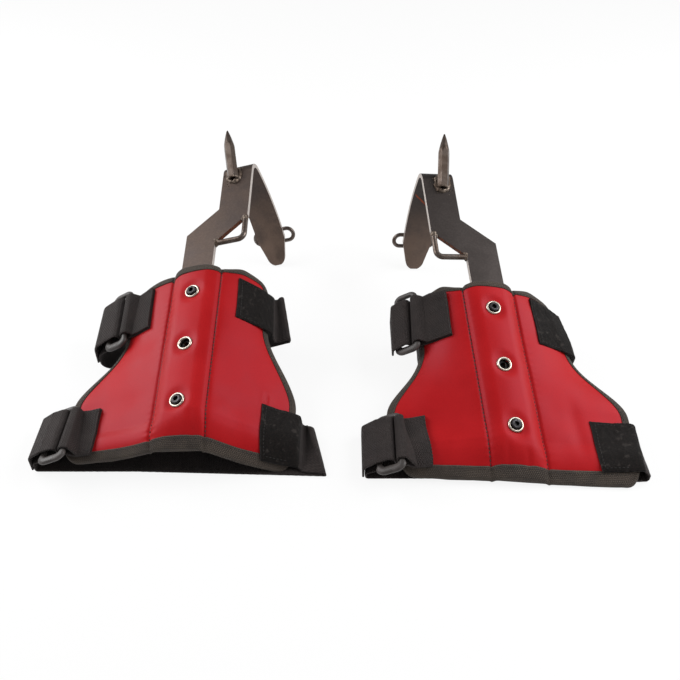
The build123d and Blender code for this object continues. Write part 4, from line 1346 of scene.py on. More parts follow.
            h = h - depth * inside + 0.45 * depth * beside
        return h - self.pinch_top * self.edge_share(q, y, self.pinch_top_w) - self.near_dip(y)

    def under(self, q: Array, y: Array) -> Array:
        """Height of the cover's lower face."""
        return self.top(q, y) - COVER_T

    def floor(self, q: Array, y: Array) -> Array:
        """Top of the foam, pressed down under the bar at the sleeve's mouth."""
        far = np.clip((y - self.unit.stations[3] + self.press_from) / self.press_over, 0, 1)
        return -self.foam_gap - self.mouth_press * far * (self.sleeve_share(q) > 0.01)

    def mouth_floor(self, q: Array, y: Array) -> Array:
        """Face that the tape under the bar lies on."""
        return self.floor(q, y) - self.foam_gap

    def back_top(self, q: Array, y: Array) -> Array:
        """Upper face of the foam: the floor of the sleeve, and on the wings the cover's own form."""
        face = self.floor(q, y) + (self.top(q, y) - COVER_TOP) * (np.abs(q) > SLEEVE_HALF)
        return np.minimum(face, self.under(q, y) - self.foam_gap)

    def low(self, q: Array, y: Array) -> Array:
        """Height of the lining's face: a shallow belly, drawn up at the edge.

        Args:
            q: place across.
            y: place along.

        Returns:
            Heights.
        """
        belly = self.belly * np.sin(np.pi * self.wing_share(q, y))
        belly = belly + 0.35 * wave(3, self.belly_ripple, q, y)
        drawn = PAD_LOW - belly + self.pinch_low * self.edge_share(q, y, self.pinch_low_w)
        return np.minimum(drawn, self.under(q, y) - 1.0)

    def rows(self, count: int) -> Array:
        """Places along the pad, closer together at its ends."""
        return np.interp(crowded(count, self.row_crowd), [0, 1], self.unit.stations[[0, 3]])

    def columns(self, y: Array, wing_count: int, sleeve_count: int) -> Array:
        """Places across the pad for each row: even shares of each wing, fixed places on the sleeve.

        Args:
            y: rows.
            wing_count: columns on a wing.
            sleeve_count: columns between the seams.

        Returns:
            Rows by columns.
        """
        wing = SLEEVE_HALF + self.reach(y)[:, None] * crowded(wing_count, self.wing_crowd)
        centre = np.linspace(-SLEEVE_HALF, SLEEVE_HALF, sleeve_count + 2)[1:-1]
        return np.hstack([-wing[:, ::-1], np.broadcast_to(centre, (len(y), sleeve_count)), wing])

    def slab(self, counts: Sequence[int], upper: Callable, lower: Callable, pierced: bool) -> Surface:
        """Closed layer between two heights over a grid, with the eyelet holes where pierced.

        Quads whose middle lies in a hole are left out, the hole's corners are moved onto its
        circle, and each free edge gets a wall.

        Args:
            counts: rows, columns on a wing and columns between the seams.
            upper: height of the upper face.
            lower: height of the lower face.
            pierced: cut the eyelet holes.

        Returns:
            The layer.
        """
        y = self.rows(counts[0])
        q = self.columns(y, *counts[1:])
        count, quads = q.size, grid(*q.shape)[0]
        q, y = q.ravel(), np.repeat(y, q.shape[1])
        if pierced:
            for hole in self.holes:
                gap = np.hypot(q[quads].mean(axis=1) - hole[0], y[quads].mean(axis=1) - hole[1])
                gone = gap < self.hole_r
                rim = np.intersect1d(quads[gone], quads[~gone])
                away = unit_rows(np.stack([q[rim], y[rim]], axis=1) - hole)
                q[rim], y[rim] = (hole + away * self.hole_r).T
                quads = quads[~gone]
        points = np.vstack([self.place(q, y, face(q, y)) for face in (upper, lower)])
        pairs = np.stack([quads, np.roll(quads, -1, axis=1)], axis=2).reshape(-1, 2).astype(np.int64)
        ahead, back = pairs[:, 0] * count + pairs[:, 1], pairs[:, 1] * count + pairs[:, 0]
        free = pairs[~np.isin(ahead, back)]
        walls = np.stack([free[:, 1], free[:, 0], free[:, 0] + count, free[:, 1] + count], axis=1)
        faces = [quads, quads[:, ::-1] + count, walls]
        used = np.zeros(2 * count, bool)
        for corners in faces:
            used[corners] = True
        number = np.cumsum(used) - 1
        flat = np.stack([np.tile(q, 2), np.tile(y, 2)], axis=1)
        skin = Surface.plain(points[used], [number[corners] for corners in faces])
        skin.maps = [flat[corners] for corners in faces]
        return skin.closed_outward()

    def outline(self) -> Array:
        """Edge of the pad as places across and along, from the far edge's middle by the right side.

        Returns:
            Places in order, about 1.5 mm apart.
        """
        ends = self.unit.stations
        y = np.interp((1 + np.cos(np.linspace(0, np.pi, 260))) / 2, [0, 1], ends[[0, 3]])
        right = np.stack([SLEEVE_HALF + self.reach(y), y], axis=1)
        start = np.array([[0.0, ends[3]]])
        line = np.vstack([start, right, right[::-1] * (-1, 1), start])
        length = lengths(line)
        at = np.linspace(0, length[-1], int(length[-1] / 1.5))
        return np.stack([np.interp(at, length, line[:, k]) for k in (0, 1)], axis=1)

    def tape(self, line: Array, upper: Callable, lower: Callable, flap: float, inward: Array) -> Surface:
        """Edge tape: a flat strip folded over the edge, carried along it.

        The profile runs out along the upper face, round the edge and back in along the lower
        face, and returns on its own inside.

        Args:
            line: the edge's places across and along.
            upper: height of the face that the upper flap lies on.
            lower: height of the face that the lower flap lies on.
            flap: width of each flap.
            inward: direction into the pad at each place.

        Returns:
            The tape, closed.
        """
        insets = np.linspace(flap, self.tape_edge, 7)
        spots = [line + inward * inset for inset in insets]
        edge_top, edge_low = upper(*line.T), lower(*line.T)
        loop = []
        for thick in (BIND_T, self.tape_core):
            rims = thick * np.minimum(1.0, 0.55 + 0.45 * (flap - insets) / self.tape_rim)
            ring = [self.place(*spot.T, upper(*spot.T) + rim) for spot, rim in zip(spots, rims)]
            for turn in np.linspace(0, np.pi, 7)[1:-1]:
                spot = line - inward * (thick * np.sin(turn) + self.tape_room)
                half = (edge_top - edge_low) / 2 + thick
                ring.append(self.place(*spot.T, (edge_top + edge_low) / 2 + half * np.cos(turn)))
            ring += [self.place(*spot.T, lower(*spot.T) - rim) for spot, rim in zip(spots[::-1], rims[::-1])]
            loop += ring if thick == BIND_T else ring[::-1]
        points = np.stack(loop)
        around = lengths(points[:, len(line) // 2])
        return swept(points, lengths(line), np.append(around, around[-1] + 1))

    def build_tape(self) -> None:
        """Tape round the whole edge, and at the sleeve's mouth one piece above the bar and one below."""
        line = self.outline()
        way = unit_rows(np.gradient(line, axis=0))
        inward = np.stack([way[:, 1], -way[:, 0]], axis=1)
        for k in (0, 1):
            inward[3:-3, k] = np.convolve(inward[:, k], np.ones(7) / 7, mode="valid")
        inward = unit_rows(inward)
        end = self.unit.stations[3]
        edge = ~((np.abs(line[:, 0]) < SLEEVE_HALF - self.mouth_lap) & (line[:, 1] > end - 1.0))
        line, inward = line[edge], inward[edge]
        wide = SLEEVE_HALF + self.mouth_lap
        q = np.linspace(-wide, wide, 60)
        across = np.stack([q, np.full(q.shape, end)], axis=1)
        back = np.broadcast_to(np.array([0.0, -1.0]), across.shape)
        skin = self.tape(line, self.top, self.low, TAPE_FLAP, inward)
        skin = skin.joined(self.tape(across, self.top, self.under, MOUTH_FLAP, back))
        skin = skin.joined(self.tape(across, self.mouth_floor, self.low, TAPE_FLAP, back))
        name = self.unit.name
        self.shop.piece(name + "_edge_tape", skin, [TAPE], self.unit.body, "black_tape", [name + "_binding"])
        spot = line + inward * (TAPE_FLAP - self.tape_sew_inset)
        self.sew("tape_stitches", *spot.T, self.top(*spot.T) + BIND_T, TAPE_STITCH, THREAD_BLACK)

    def sew(self, name: str, q: Array, y: Array, h: Array, kind: Stitch, thread: Finish) -> None:
        """Sew along a row of places.

        Args:
            name: end of the piece's name.
            q: places across.
            y: places along.
            h: height of the cloth above the foam.
            kind: spacing and size of the stitches.
            thread: its finish.
        """
        h = h + self.thread_lift
        row = self.place(q, y, h)
        grains = stitches(row, self.place(q, y, h + 1.0) - row, kind)
        self.shop.piece(f"{self.unit.name}_{name}", grains, [thread], self.unit.body, "black_tape")

    def build_cover(self) -> None:
        """Red cover as one thin shell."""
        name, counts = self.unit.name, (150, 46, 44)
        shell = self.slab(counts, self.top, self.under, True)
        made = self.shop.piece(name + "_pad_cover", shell, [LEATHER], self.unit.body, "red_cover",
                               [name + "_cover"])
        y = self.rows(counts[0])
        wide = 2 * (SLEEVE_HALF + self.reach(y))

    def build_back(self) -> None:
        """Foam and lining as one padded slab."""
        name = self.unit.name
        slab = self.slab((90, 30, 22), self.back_top, self.low, False)
        made = self.shop.piece(name + "_pad_back", slab, [LINING], self.unit.body, "black_lining",
                               [name + "_foam", name + "_lining"])

    def sew_seams(self) -> None:
        """Two sewn seams beside the sleeve; on the inner seam the dark, unbroken thread is also painted
        shade for its groove.
        """
        ends = self.unit.stations
        y = np.linspace(ends[0] + self.seam_end, ends[3] - self.seam_end, 240)
        for side in Side:
            outer = side.value == -self.unit.lie.hand
            q = np.full(y.shape, side.value * (SLEEVE_HALF + (0.0 if outer else self.inner_seam_off)))
            # the inner seam gets the dark thread as an unbroken line of painted shade in its groove
            kind, thread = (OUTER_STITCH, THREAD_BLACK) if outer else (INNER_SEAM_SHADE_STITCH, SEAM_SHADE_THREAD)
            self.sew(side.name.lower() + "_seam", q, y, self.top(q, y), kind, thread)

    def build(self) -> None:
        """Build the pad's pieces and dress its metal."""
        self.build_back()
        self.build_cover()
        self.build_tape()
        self.sew_seams()
        self.shop.dress_node(self.unit.name + "_eyelets", NICKEL)
        self.shop.dress_node(self.unit.name + "_eyelet_washers", NICKEL)
        self.shop.dress_node(self.unit.name + "_screws", SCREW, 0.35)


def rounded_path(corners: Array, radii: Sequence[float], step: float = 1.2) -> tuple[Array, Array]:
    """Path through corners with its bends rounded, for several sections at once.

    Each bend is the arc of its radius that touches both runs; the radius is cut back where a run
    is too short for it. Every section gets as many points on each run and bend.

    Args:
        corners: sections by corners by 2.
        radii: radius of each inner corner.
        step: spacing of the points, about.

    Returns:
        Points and left-hand normals, sections by points by 2.
    """
    runs = np.diff(corners, axis=1)
    sizes = np.linalg.norm(runs, axis=2)
    ways = runs / sizes[:, :, None]
    lefts = np.stack([-ways[:, :, 1], ways[:, :, 0]], axis=2)
    points, normals = [], []
    last = corners[:, 0]
    for i, radius in enumerate(radii):
        first, second = ways[:, i], ways[:, i + 1]
        cross = first[:, 0] * second[:, 1] - first[:, 1] * second[:, 0]
        turn = np.arctan2(cross, np.sum(first * second, axis=1))
        half = np.tan(np.abs(turn) / 2)
        room = np.minimum(sizes[:, i], sizes[:, i + 1]) * 0.5
        real = np.minimum(radius, room / np.maximum(half, 1e-6))
        reach = (real * half)[:, None]
        start, end = corners[:, i + 1] - reach * first, corners[:, i + 1] + reach * second
        count = max(int(np.max(np.linalg.norm(start - last, axis=1)) / step), 1)
        share = np.linspace(0, 1, count, endpoint=False)[None, :, None]
        points.append(last[:, None] + (start - last)[:, None] * share)
        normals.append(np.broadcast_to(lefts[:, i, None], points[-1].shape))
        sign = np.sign(turn)[:, None]
        centre = start + sign * real[:, None] * lefts[:, i]
        count = max(int(np.max(real * np.abs(turn)) / (0.6 * step)), 3)
        angle = turn[:, None] * np.linspace(0, 1, count, endpoint=False)[None, :]
        cosine, sine = np.cos(angle)[:, :, None], np.sin(angle)[:, :, None]
        left = lefts[:, i, None] * cosine - first[:, None] * sine
        points.append(centre[:, None] - (sign * real[:, None])[:, None] * left)
        normals.append(left)
        last = end
    count = max(int(np.max(np.linalg.norm(corners[:, -1] - last, axis=1)) / step), 1)
    share = np.linspace(0, 1, count + 1)[None, :, None]
    points.append(last[:, None] + (corners[:, -1] - last)[:, None] * share)
    normals.append(np.broadcast_to(lefts[:, -1, None], points[-1].shape))
    return np.concatenate(points, axis=1), np.concatenate(normals, axis=1)


def strap_profile() -> tuple[Array, Array]:
    """Section of a strap: flat faces and round selvedges, as a closed loop.

    Returns:
        Place across, from -1 to 1, and half thickness, from -1 to 1; the first half of the loop
        is the upper face and the second half mirrors it below.
    """
    flat = np.linspace(-0.955, 0.955, 19)
    edge = np.array([-0.999, -0.985])
    across = np.concatenate([edge, flat, -edge[::-1]])
    thick = np.concatenate([[0.35, 0.8], np.ones(19), [0.8, 0.35]])
    return np.concatenate([across, across[::-1]]), np.concatenate([thick, -thick[::-1]])


@dataclass
class StrapSet:
    """One strap of a unit: sewn tab, ring, run from the sewn patch, and free tail."""

    unit: UnitFrame
    pad: LegPad
    lie: StrapLie
    shop: Workshop
    settle: float = 24.0
    straighten: float = 180.0
    pile_rough: float = 0.12
    pile_over: float = 4.0
    tape_ease: float = 1.5
    tail_root: float = 0.6
    tail_root_r: float = 2.5
    bend_from: float = -0.3
    bend_to: float = 3.0
    tab_sew_inset: float = 3.0
    tab_sew_back: float = 8.0
    patch_sew_inset: float = 2.5
    patch_sew_back: float = 2.0
    ring_corner: float = 5.0
    ring_near_flare: float = 1.5
    ring_far_flare: float = 0.4
    ring_end_out: float = 0.6
    ring_end_rise: float = 0.1

    def __post_init__(self) -> None:
        """Set the ring's inner bar over the pad's edge and the outer bar a pitch further out."""
        near = self.unit.along_to_y(self.lie.near_y)
        self.near, self.far = near - self.lie.spread[0], near + STRAP_W + self.lie.spread[1]
        self.middle = near + STRAP_W / 2
        self.over = BIND_ROOM + STRAP_LIFT + STRAP_T / 2
        ends = np.array([near, near + STRAP_W])
        xz = self.unit.edge_point(Side.LEFT, ends, RING_INSET, self.over + TAB_BEND_R + RING_LIFT)
        self.first, last = (np.array([xz[:, 0].mean(), y, z]) for y, z in zip(ends, xz[:, 1]))
        self.bar = (last - self.first) / np.linalg.norm(last - self.first)
        tilt = np.radians(self.lie.ring_tilt)
        aim = np.array([-np.cos(tilt), 0.0, -np.sin(tilt)])
        aim -= self.bar * (aim @ self.bar)
        self.aim = aim / np.linalg.norm(aim)
        shift = self.outer_bar(near) - self.on_line(self.first, near)
        self.outward = shift / np.linalg.norm(shift)
        self.normal = np.array([self.outward[1], -self.outward[0]])

    @property
    def name(self) -> str:
        """Start of this strap's names."""
        return f"{self.unit.name}_{self.lie.name}"

    def on_line(self, start: Array, y: Array) -> Array:
        """X and Z where a line along the bars meets Y."""
        spot = start + self.bar * ((np.asarray(y, float)[..., None] - start[1]) / self.bar[1])
        return spot[..., [0, 2]]

    def outer_bar(self, y: Array) -> Array:
        """X and Z of the ring's outer bar at Y."""
        return self.on_line(self.first + self.aim * RING_PITCH, y)

    def lift(self, y: Array) -> Array:
        """Middle of the strap above the cover, raised where it lies on the end tape."""
        on_tape = np.clip((BIND_W + self.tape_ease - self.unit.end_gap(y)) / (2 * self.tape_ease), 0, 1)
        return STRAP_LIFT + STRAP_T / 2 + BIND_ROOM * on_tape

    def on_pad(self, side: Side, y: Array, inset: Union[float, Array], h: Array) -> Array:
        """X and Z above the cover, counted inwards from an edge, hanging with the pad.

        Args:
            side: which wing.
            y: places along.
            inset: length inside the edge.
            h: height above the cover.

        Returns:
            X and Z of each place.
        """
        spot = self.unit.edge_point(side, y, inset, h)
        q = side.value * (SLEEVE_HALF + self.unit.wing_length(y) - inset)
        cut = y
        for _ in range(3):
            cut = cut + y - self.pad.skewed(q, cut)
        spot[:, 1] -= self.pad.drop(q, cut) + self.pad.near_dip(cut)
        return spot

    def across(self, pair: Sequence, y: Array) -> Array:
        """Value that goes evenly from the strap's near edge to its far edge."""
        return between(pair, (y - self.near) / (self.far - self.near))

    def drifted(self, y: Array, length: Array) -> Array:
        """Y of a place on the run, which wanders along Y from its patch and straightens by the ring.

        Args:
            y: place across the strap.
            length: place along the run.

        Returns:
            The moved Y.
        """
        edge = PATCH_LENGTH + LIP
        stops = [edge, edge + self.settle, edge + self.straighten]
        sewn = np.interp(length, stops[:2], [1.0, 0.0])
        later = np.interp(length, stops, [0.0, self.lie.drift[2], self.lie.pull])
        return y + self.across(self.lie.drift, y) * sewn + later

    def pulled(self, y: Array, length: Array) -> Array:
        """Y of a place on the tab, drawn along Y where it goes round the ring and leaning where sewn."""
        ring = np.sin(np.pi * np.clip(length / TAB_OVER, 0, 1))
        return y + self.lie.pull * ring + self.across(self.lie.lean, y) * (1 - ring)

    def hung(self, y: Array, length: Array) -> Array:
        """Y of a place on the tail, which leaves the ring where the strap was drawn to."""
        return y + self.lie.pull

    def ribbon(self, path: Callable, wander: Callable, kind: Optional[Callable] = None,
               thin: float = 1.0, rough: float = 0.0) -> tuple[Surface, Callable]:
        """Strap that follows a path given for each place across its width.

        Args:
            path: gives corners and radii for places along Y.
            wander: moves places of the strap along Y.
            kind: gives the finish number for lengths along the path.
            thin: share of the full thickness.
            rough: unevenness of the faces.

        Returns:
            The strap, and a function that gives points and normals on its upper face.
        """
        across, thick = strap_profile()
        y = (self.near + self.far) / 2 + across * (self.far - self.near) / 2
        points, normals = rounded_path(*path(y))
        length = lengths(points[len(y) // 4])
        half = STRAP_T / 2 * thin * thick[:, None]
        if rough > 0:
            half = half + np.sign(thick)[:, None] * rough * wave(5, 5.0, y[:, None], length[None])
        spot = points + normals * half[:, :, None]
        spot_y = wander(np.broadcast_to(y[:, None], spot.shape[:2]), length[None])
        solid = np.stack([spot[:, :, 0], spot_y, spot[:, :, 1]], axis=2)

        def face(y_at: Array, s_at: Array) -> tuple[Array, Array]:
            """Find places on the upper face.

            Args:
                y_at: places across.
                s_at: places along.

            Returns:
                Points and outward directions.
            """
            line, out = rounded_path(*path(y_at))
            gaps, rows = lengths(line[len(y_at) // 2]), np.arange(len(y_at))
            column = np.clip(np.searchsorted(gaps, s_at), 0, len(gaps) - 1)
            normal = out[rows, column]
            top = line[rows, column] + normal * STRAP_T / 2 * thin
            return (np.stack([top[:, 0], wander(y_at, s_at), top[:, 1]], axis=1),
                    np.stack([normal[:, 0], np.zeros(len(y_at)), normal[:, 1]], axis=1))

        finish = None if kind is None else kind(length)
        return swept(solid, length, np.append(y, y[0]), False, finish), face

    def tab_path(self, y: Array) -> tuple[Array, list[float]]:
        """Tab: on the cover, round the ring's inner bar and back over itself.

        Args:
            y: places across the strap.

        Returns:
            Corners of the path at each place, and the radii of its bends.
        """
        side, bend = Side.LEFT, TAB_BEND_R
        bar = self.on_line(self.first, y)
        out, up = self.unit.edge_frame(side, y)
        lift, over = self.lift(y), np.full(y.shape, self.over)
        upper = lift + STRAP_T + STRAP_LIFT / 2
        length = self.across(self.lie.tab, y)
        sewn = y + self.across(self.lie.lean, y)
        corners = [self.on_pad(side, sewn, length, lift),
                   self.on_pad(side, y, BIND_W + STEP_FROM, lift),
                   self.on_pad(side, y, BIND_W + STEP_TO, over),
                   bar + out * bend - up * bend,
                   bar + out * bend + up * bend,
                   bar - out * bend * 1.05 + up * bend,
                   self.on_pad(side, y, CREASE_AT, over + STRAP_T + 0.3),
                   self.on_pad(side, y, np.minimum(BIND_W + UPPER_FROM, length - 2.5), upper),
                   self.on_pad(side, sewn, length, upper)]
        turn = bend * TURN_SHARE
        return np.stack(corners, axis=1), [STEP_R, STEP_R, turn, turn, 2.6, 1.4, STEP_R]

    def run_path(self, y: Array) -> tuple[Array, list[float]]:
        """Run: sewn patch, over the pad's edge, under the leg space and up through the ring.

        Args:
            y: places across the strap.

        Returns:
            Corners of the path at each place, and the radii of its bends.
        """
        side, lie = Side.RIGHT, self.lie
        middle = np.array([self.unit.lie.x, 0.0])
        lift, over = self.lift(y), np.full(y.shape, self.over)
        fold_x = middle[0] + self.across(lie.fold_x, y)
        bend_x = middle[0] + self.across(lie.bend_x, y)
        floor = np.full(y.shape, STRAP_T / 2)
        lows = np.broadcast_to(lie.fold_low, 2)
        low = np.maximum(self.across(lows, y), floor)
        fold_r = (lie.fold_top - max(float(lows[1]), STRAP_T / 2)) * FOLD_SHARE
        laid = y + self.across(lie.drift, y)
        outer = self.outer_bar(y)
        corner = outer - THROUGH * self.outward - WRAP_R * self.normal
        run = ((bend_x - corner[:, 0]) / self.outward[0])[:, None]
        corners = [self.on_pad(side, laid, self.across(lie.patch, y), lift),
                   self.on_pad(side, laid, BIND_W + STEP_FROM, lift),
                   self.on_pad(side, laid, BIND_W + STEP_TO, over),
                   self.on_pad(side, laid, -LIP, over)]
        radii = [STEP_R, STEP_R, LIP_R]
        for ridge in (lie.valley, lie.crest):
            if ridge is not None:
                corners.append(self.across(np.array(ridge), y[:, None]) + middle)
                radii.append(RIDGE_R)
        if lie.crest is None:
            corners.append(np.stack([fold_x, np.full(y.shape, lie.fold_top)], axis=1))
            radii.append(fold_r)
        corners.append(np.stack([fold_x, low], axis=1))
        radii.append(max(fold_r, 1.0))
        if lie.tuck is not None:
            corners.append(np.full((len(y), 2), lie.tuck) + middle)
            radii.append(LANDING_R)
        if lie.landing_x is not None:
            corners.append(np.stack([np.full(y.shape, middle[0] + lie.landing_x), floor], axis=1))
            radii.append(LANDING_R)
        corners += [np.stack([bend_x, floor], axis=1), corner + self.outward * run, corner,
                    outer - THROUGH * self.outward + WRAP_R * self.normal,
                    outer + WRAP_R * self.normal + TAIL_GAP * self.outward]
        turn = WRAP_R * TURN_SHARE
        return np.stack(corners, axis=1), radii + [lie.bend_r, lie.bend_r, turn, turn]

    def tail_path(self, y: Array) -> tuple[Array, list[float]]:
        """Tail: from the top of the ring's outer bar down over the outside of the run.

        Args:
            y: places across the strap.

        Returns:
            Corners of the path at each place, and the radii of its bends.
        """
        lie, x = self.lie, self.unit.lie.x
        outside = x + self.across(lie.bend_x, y) - STRAP_T - TAIL_GAP
        if lie.tail_out is not None:
            outside = np.full(y.shape, x + lie.tail_out)
        top = self.outer_bar(y) + self.normal * WRAP_R
        hinge = top + self.outward * TAIL_GAP
        knee_z = hinge[:, 1] - TAIL_SLOPE * (hinge[:, 0] - outside)
        knee_r = min(lie.bend_r + STRAP_T, 2.0 * float(np.min(hinge[:, 0] - outside)))
        corners = [top - self.outward * self.tail_root, hinge, np.stack([outside, knee_z], axis=1),
                   np.stack([outside, np.full(y.shape, lie.tail_end)], axis=1)]
        return np.stack(corners, axis=1), [self.tail_root_r, knee_r]

    def sew(self, name: str, face: Callable, inset: float, end: float, sides: Sequence[float]) -> None:
        """Sew across a strap at one end and along both its edges.

        Args:
            name: end of the piece's name.
            face: points and outward directions for places across and along.
            inset: how far in from the edges.
            end: place along of the row across.
            sides: places along where the other two rows begin and stop.
        """
        y, s = np.linspace(self.near + inset, self.far - inset, 40), np.linspace(*sides, 20)
        rows = [(y, np.full(40, end)), (np.full(20, y[0]), s), (np.full(20, y[-1]), s)]
        skin = reduce(Surface.joined, [stitches(*face(*row), STRAP_STITCH) for row in rows])
        self.shop.piece(f"{self.name}_{name}", skin, [THREAD_BLACK], self.unit.body, "black_webbing")

    def build_tab(self) -> None:
        """Sewn tab with its stitching."""
        skin, face = self.ribbon(self.tab_path, self.pulled)
        self.shop.piece(self.name + "_sewn_tab", skin, [WEBBING], self.unit.body, "black_webbing",
                        [self.name + "_tab"])
        points, _ = rounded_path(*self.tab_path(np.array([self.near, self.far])))
        total = float(lengths(points[0])[-1])
        inner = total - self.tab_sew_inset
        outer = total - (min(self.lie.tab) - BIND_W - self.tab_sew_back)
        self.sew("tab_stitches", face, self.tab_sew_inset, inner, (outer, inner))

    def cloth(self, length: Array) -> Array:
        """Finish of the run: loop pile on the sewn patch, then webbing."""
        return np.where(length < PATCH_LENGTH + self.pile_over, Cloth.LOOP_PILE.value, Cloth.WEBBING.value)

    def build_run(self) -> None:
        """Strap from its sewn patch to the ring; the patch has loop pile on its face."""
        skin, face = self.ribbon(self.run_path, self.drifted, self.cloth, rough=self.pile_rough)
        self.shop.piece(self.name + "_strap_run", skin, [WEBBING, PILE], self.unit.body, "black_webbing",
                        [self.name + "_strap"])
        inset, stop = self.patch_sew_inset, PATCH_LENGTH - BIND_W - self.patch_sew_back
        self.sew("patch_stitches", face, inset, inset, (inset, stop))

    def build_tail(self) -> None:
        """Free end, shaped with a bend where it leaves the ring."""
        skin, _ = self.ribbon(self.tail_path, self.hung, thin=1.02)
        made = self.shop.piece(self.name + "_free_tail", skin, [WEBBING], None, "black_webbing",
                               [self.name + "_tail"])
        hinge = self.outer_bar(self.middle) + self.normal * WRAP_R
        spots = [hinge + self.outward * off for off in (self.bend_from, self.bend_to)]
        start, end = (self.shop.row(np.array([x, self.middle, z])) for x, z in spots)
        self.name + "_tail"
        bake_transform(made)

    def build_ring(self) -> None:
        """Moulded ring: a rounded rectangle, its two ends broader than the bars.

        The path runs round the rectangle with round corners; the section is an ellipse whose
        width grows on the ends.
        """
        half = (STRAP_W / abs(self.bar[1]) + 2 * RING_SIDE_ROOM + RING_BAR_D) / 2
        middle = self.first + self.bar * ((self.middle - self.first[1]) / self.bar[1] + self.lie.slide)
        reach = np.array([RING_PITCH / 2, half]) - self.ring_corner
        corners = np.array([(1, 1), (-1, 1), (-1, -1), (1, -1)]) * reach
        angles = np.linspace(0, np.pi / 2, 9) + np.arange(4)[:, None] * np.pi / 2
        arcs = corners[:, None] + self.ring_corner * np.stack([np.cos(angles), np.sin(angles)], axis=2)
        parts = []
        for arc, following in zip(arcs, np.roll(arcs, -1, axis=0)):
            run = following[0] - arc[-1]
            count = max(int(np.linalg.norm(run) / 2.0), 1)
            parts += [arc, arc[-1] + run * np.linspace(0, 1, count, endpoint=False)[1:, None]]
        line = np.vstack(parts)
        way = unit_rows(np.roll(line, -1, axis=0) - np.roll(line, 1, axis=0))
        side = np.stack([way[:, 1], -way[:, 0]], axis=1)
        end = smooth((np.abs(line[:, 1]) - reach[1] + 1.0) / 4.0)
        flare = np.where(line[:, 1] < 0, self.ring_near_flare, self.ring_far_flare)
        t = circle(24)[:, None]
        wide = np.cos(t) * (RING_BAR_D / 2 + flare * end) + self.ring_end_out * end
        tall = np.sin(t) * (RING_BAR_D / 2 + self.ring_end_rise * end)
        up = np.cross(self.aim, self.bar)
        up = up if up[2] > 0 else -up
        flat = line + side * wide[:, :, None]
        points = (middle + self.aim * RING_PITCH / 2 + flat[:, :, :1] * self.aim
                  + flat[:, :, 1:] * self.bar + tall[:, :, None] * up)
        skin = swept(points, np.arange(len(line) + 1.0), np.arange(len(t) + 1.0), True)
        self.shop.piece(self.name + "_moulded_ring", skin, [PLASTIC], self.name + "_ring", "black_plastic",
                        [self.name + "_ring"])

    def build(self) -> None:
        """Build the strap's pieces."""
        self.build_tab()
        self.build_ring()
        self.build_run()
        self.build_tail()


